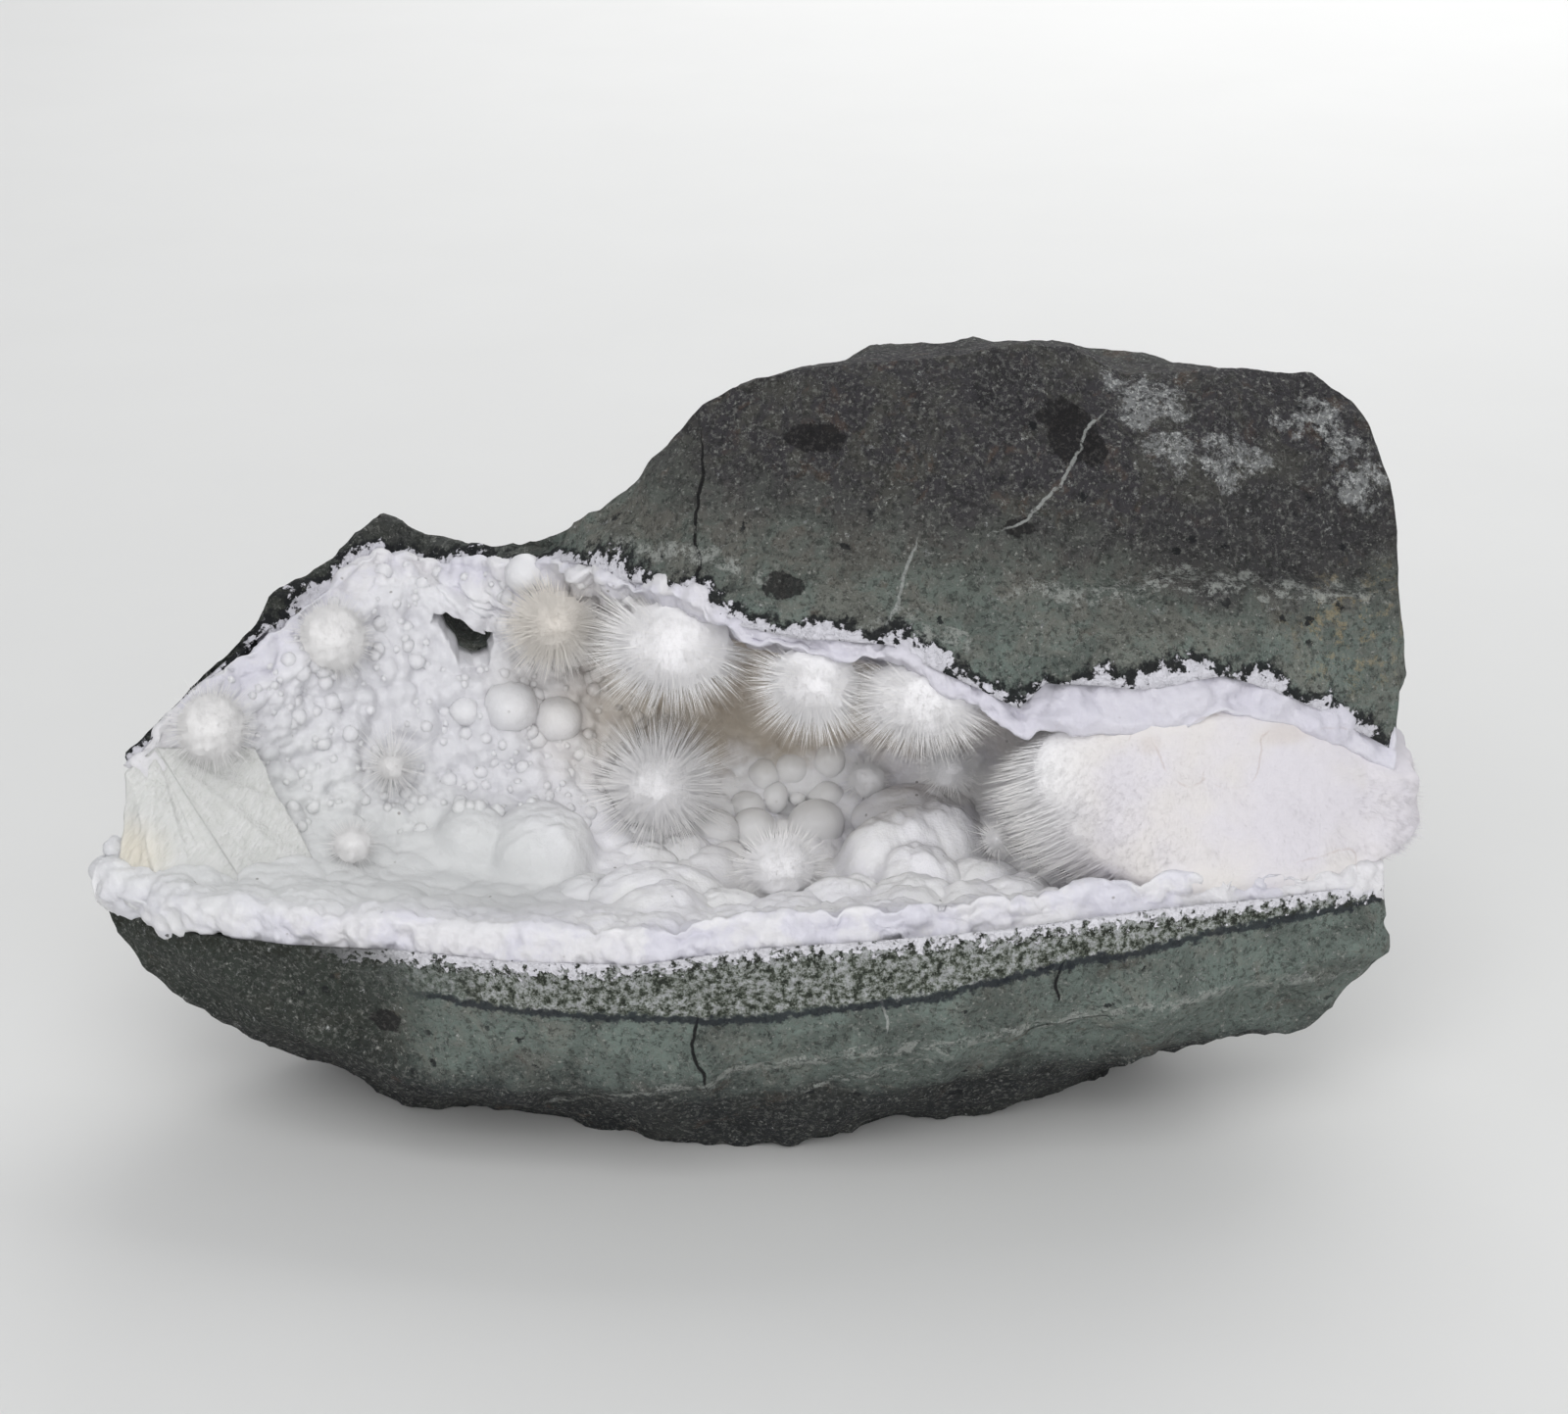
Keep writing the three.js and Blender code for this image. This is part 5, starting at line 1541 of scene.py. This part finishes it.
# %% Basalt finish: cracks and veins
drift = ragged * 0.9
crack = rock_paint.stroke("crack", 0.17, drift * 0.5)
rock_paint.layer(crack * patchy.between(0.34, 0.44) * 0.95, (0.008, 0.008, 0.009))
soft = rock_paint.stroke("soft_vein", 1.0, drift * 1.5, 0.7)
soft = soft * patchy.between(0.46, 0.56) * (1 - dark_grain * 0.6)
rock_paint.layer(soft * 0.85, (0.52, 0.54, 0.51))
thin = rock_paint.stroke("thin_vein", 0.19, drift * 0.9)
rock_paint.layer(thin * patchy.between(0.38, 0.48) * 0.8, (0.58, 0.60, 0.58))

# %% [markdown]
# Along each lip the rock is stained dark, and crumbs of the white crust cling to it. The
# mottled zone under the lower lip ends in a thin dark line.

# %% Basalt finish: along the lips
lip_up, lip_low = rock_paint.attribute("lip_up"), rock_paint.attribute("lip_low")
zone = rock_paint.attribute("zone") + ragged * 2.4
drift_up = (wander.part(1) - 0.5) * 7
rock_paint.layer((lip_up + ragged * 7 + drift_up).between(3.0, 1.5) * 0.92, DEEP)
spill = (lip_up + jagged * 8 + drift_up).between(1.2, 0.8)
rock_paint.layer(spill, (0.70, 0.69, 0.745))

mottle = at.noise(0.9, 5, 0.8)
in_zone = zone.between(-0.3, 0.3) * lip_low.between(11, 8) * across.between(-44, -26)
rock_paint.layer(in_zone * 0.95, mottle.ramp(
    (0.39, (0.020, 0.025, 0.018)), (0.46, (0.13, 0.15, 0.11)), (0.52, (0.42, 0.45, 0.41)),
    (0.60, (0.72, 0.73, 0.75))))
zone_line = abs(zone + 0.5).between(0.7, 0.25) * across.between(-40, -34)
rock_paint.layer(zone_line * lip_low.between(13, 10) * 0.85, (0.022, 0.028, 0.040))
low_fringe = (lip_low + ragged * 6).between(2.6, 1.4)
rock_paint.layer(low_fringe * mottle.between(0.52, 0.46), (0.035, 0.040, 0.030))
low_spill = (lip_low + jagged * 9).between(1.4, 1.0) * across.between(-50, -34)
rock_paint.layer(low_spill, (0.78, 0.77, 0.82))

relief = at.noise(1.3, 6, 0.75) * 1.4 + light_grain * 0.2 - dark_grain * 0.3 - crack
rock_paint.finish(relief * (1 - spill * 0.7) * (1 - low_spill * 0.7), 1.0, 0.0011)

# %% [markdown]
# ## Finish of the crust
# The crust is white with a breath of lavender, clearer and greener on the floor of the
# left bowl, and light goes a little way into it. Where it thins out over the lips, dark
# grains of rock show through. It is painted lighter deep in the hollow and darker at the
# lips and the upper band: partly its own tone, partly painted light that evens out the
# lamps. The brown in the deep recess behind the roof's balls is painted shade.

# %% Crust finish
LETS_LIGHT_IN = {"Subsurface_Weight": 0.35, "Subsurface_Radius": (1, 1, 1),
                 "Subsurface_Scale": 0.0014}
LINE_STAIN = (0.40, 0.30, 0.26)

crust_paint = Paint("white_crust", Roughness=0.5, Specular_IOR_Level=0.3, **LETS_LIGHT_IN)
at = crust_paint.place()
bent = at.moved(at.noise(4, 4, EVEN, "Color"), 8)
ragged = at.noise(*GRIT, "Color").part(0) - 0.5
cloud = bent.noise(7, 4)
edge, clear = crust_paint.attribute("edge_mm"), crust_paint.attribute("clear")
# Painted light, partly: the crust is lighter deep in the hollow, where shade falls, and darker at
# the lips, where the lamps fall full; the lavender at the lips is partly its own tone.
inside = (edge + (cloud - 0.5) * 4).between(2.5, 8)
crust_paint.colour = inside.mix(
    cloud.between(0.4, 0.6).mix((0.67, 0.66, 0.725), (0.715, 0.705, 0.725)),
    cloud.between(0.35, 0.65).mix((0.91, 0.90, 0.94), (0.92, 0.915, 0.92)))
# The upper band at the right is darker and more lavender: partly its own tone, partly painted
# shade that offsets the lamps falling full on it.
band_tone_and_painted_shade = at.part(2).between(40, 46) * at.part(0).between(-12, 0)
crust_paint.layer(band_tone_and_painted_shade * 0.8, (0.62, 0.605, 0.675))
left = bent.part(0).between(-14, -30) * inside
crust_paint.layer(left, (0.70, 0.697, 0.725))
bowl = bent.distance((-46, -14, 29), (0.45, 1, 0.8)).between(17, 8)
crust_paint.layer(bowl * 0.7, (0.70, 0.71, 0.70))
# Painted shade: a warm brown in the deep recess behind and between the balls of the roof.
deep = bent.distance((4, 8, 44), (0.5, 1, 0.8)).between(20, 7) * bent.part(2).between(30, 36)
crust_paint.layer(deep * 0.85, (0.43, 0.365, 0.28))
rock_grains = (edge + ragged * 7).between(-0.3, -0.7)
crust_paint.layer(rock_grains * 0.85, (0.028, 0.030, 0.028))
seam = crust_paint.stroke("seam", 0.12, ragged * 0.4, 0.09)
crust_paint.layer(seam * cloud.between(0.4, 0.6) * 0.3, LINE_STAIN)
specks = at.specks(1.9).between(0.13, 0.07) * at.noise(6, 3).between(0.55, 0.62)
crust_paint.layer(specks * 0.6, (0.16, 0.14, 0.12))
crust_paint.layer(clear * 0.8, (0.86, 0.855, 0.85))
crust_paint.feed("Roughness", 0.55 - clear * 0.25)
crust_paint.finish(at.noise(0.7, 5, 0.65) * (1 - clear * 0.8), 0.45, 0.0004)

# %% [markdown]
# ## Finish of the blades
# The cleaved faces shine in streaks. The streaks are a noise that is turned to run down
# the blades and drawn out along them, and it sets colour, gloss and relief at once.

# %% Blade finish
STREAKS = {"turn": -0.75, "drawn_out": (1, 1, 0.07)}

blade_paint = Paint("cleaved_blade", Specular_IOR_Level=0.4, **LETS_LIGHT_IN)
at = blade_paint.place()
turned = blade_paint.node("ShaderNodeVectorRotate", {"rotation_type": "Y_AXIS"},
                          {"Vector": at, "Angle": STREAKS["turn"]})
streak = turned.vector("MULTIPLY", STREAKS["drawn_out"]).noise(0.9, 4, 0.6)
blade_paint.colour = streak.between(0.3, 0.7).mix((0.61, 0.615, 0.595), (0.67, 0.67, 0.66))
stain = at.distance((-70.5, -16, 32)).between(6, 1)
blade_paint.layer(stain * 0.5, (0.80, 0.72, 0.56))
blade_paint.feed("Roughness", 0.6 - streak * 0.3)
blade_paint.finish(streak, 0.8, 0.0006)

# %% [markdown]
# ## Finish of the okenite
# The balls are white, and the tips of their needles are a little creamier. Those at the
# left are greyer, the great one on the right is pinker and darker, and the one at the left
# of the roof is beige. The pink is the great one's own tone; its darkness is painted shade,
# which offsets the lamps that fall full on it at the mouth of the hollow. Fine lines and
# two dents mark the great one.

# %% Okenite finish
DENTS = (((43.8, -17, 47.3), (1, 0.3, 1.3)), ((59.5, -15, 47.2), (0.4, 0.3, 1.3)))
SPOT = (31.8, -12, 43.3)  # one dark spot on the left side of the great ball

okenite_paint = Paint("okenite_needles", Roughness=0.5, Specular_IOR_Level=0.35)
at = okenite_paint.place()
fine = at.noise(0.8, 4, 0.7)
okenite_paint.colour = okenite_paint.attribute("tip").mix(
    (0.90, 0.892, 0.905), (0.88, 0.855, 0.82))
okenite_paint.layer(fine.between(0.5, 0.3) * 0.25, (0.82, 0.81, 0.83))
# Painted shade, partly: the great ball at the mouth is darker than the balls inside the hollow, to
# offset the lamps that fall full on it; its pink tint is its own.
okenite_paint.layer(at.part(0).between(30, 40), at.noise(14, 3).between(0.4, 0.65).mix(
    (0.68, 0.655, 0.695), (0.70, 0.67, 0.655)))
okenite_paint.layer(at.part(0).between(-32, -40) * 0.9, (0.78, 0.77, 0.765))
beige = at.distance((-24, 0, 54.5), (0.8, 0.7, 0.8)).between(7, 3)
okenite_paint.layer(beige * 0.8, (0.80, 0.75, 0.68))
for middle, stretch in DENTS:
    okenite_paint.layer(at.distance(middle, stretch).between(2.2, 0.8) * 0.3,
                        (0.55, 0.47, 0.40))
seam = okenite_paint.stroke("seam", 0.10, (fine - 0.5) * 0.5, 0.10)
okenite_paint.layer(seam * at.noise(3, 3).between(0.42, 0.58) * 0.32, LINE_STAIN)
spot = at.distance(SPOT, (1, 0.2, 1)).between(0.6, 0.35)
okenite_paint.layer(spot * 0.85, (0.05, 0.04, 0.04))
okenite_paint.finish(fine, 0.3, 0.0003)

# %% [markdown]
# ## Materials and places
# Every piece grew on the rock, so all of them ride on the one body. Each row also names a
# slot for the mineral that a piece is made of, and the solid that it stands in for, which is
# hidden.

# %% Materials and places
PIECES = [  # piece, its paint, its slot and the node that it replaces
    (basalt, rock_paint, "basalt", "basalt"), (crust, crust_paint, "crust", "crust"),
    (lumps, crust_paint, "crust", "crust"), (blades, blade_paint, "crust", "crust"),
    (great, okenite_paint, "okenite", "puffball_great"),
    *((ball, okenite_paint, "okenite", name) for name, ball in balls.items())]
for piece, paint, slot, node in PIECES:
    piece.data.materials.clear()
    piece.data.materials.append(paint.material)
    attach(piece, "root")
    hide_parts(node)
print(len(PIECES), "pieces replace", len({node for *_, node in PIECES}), "nodes")
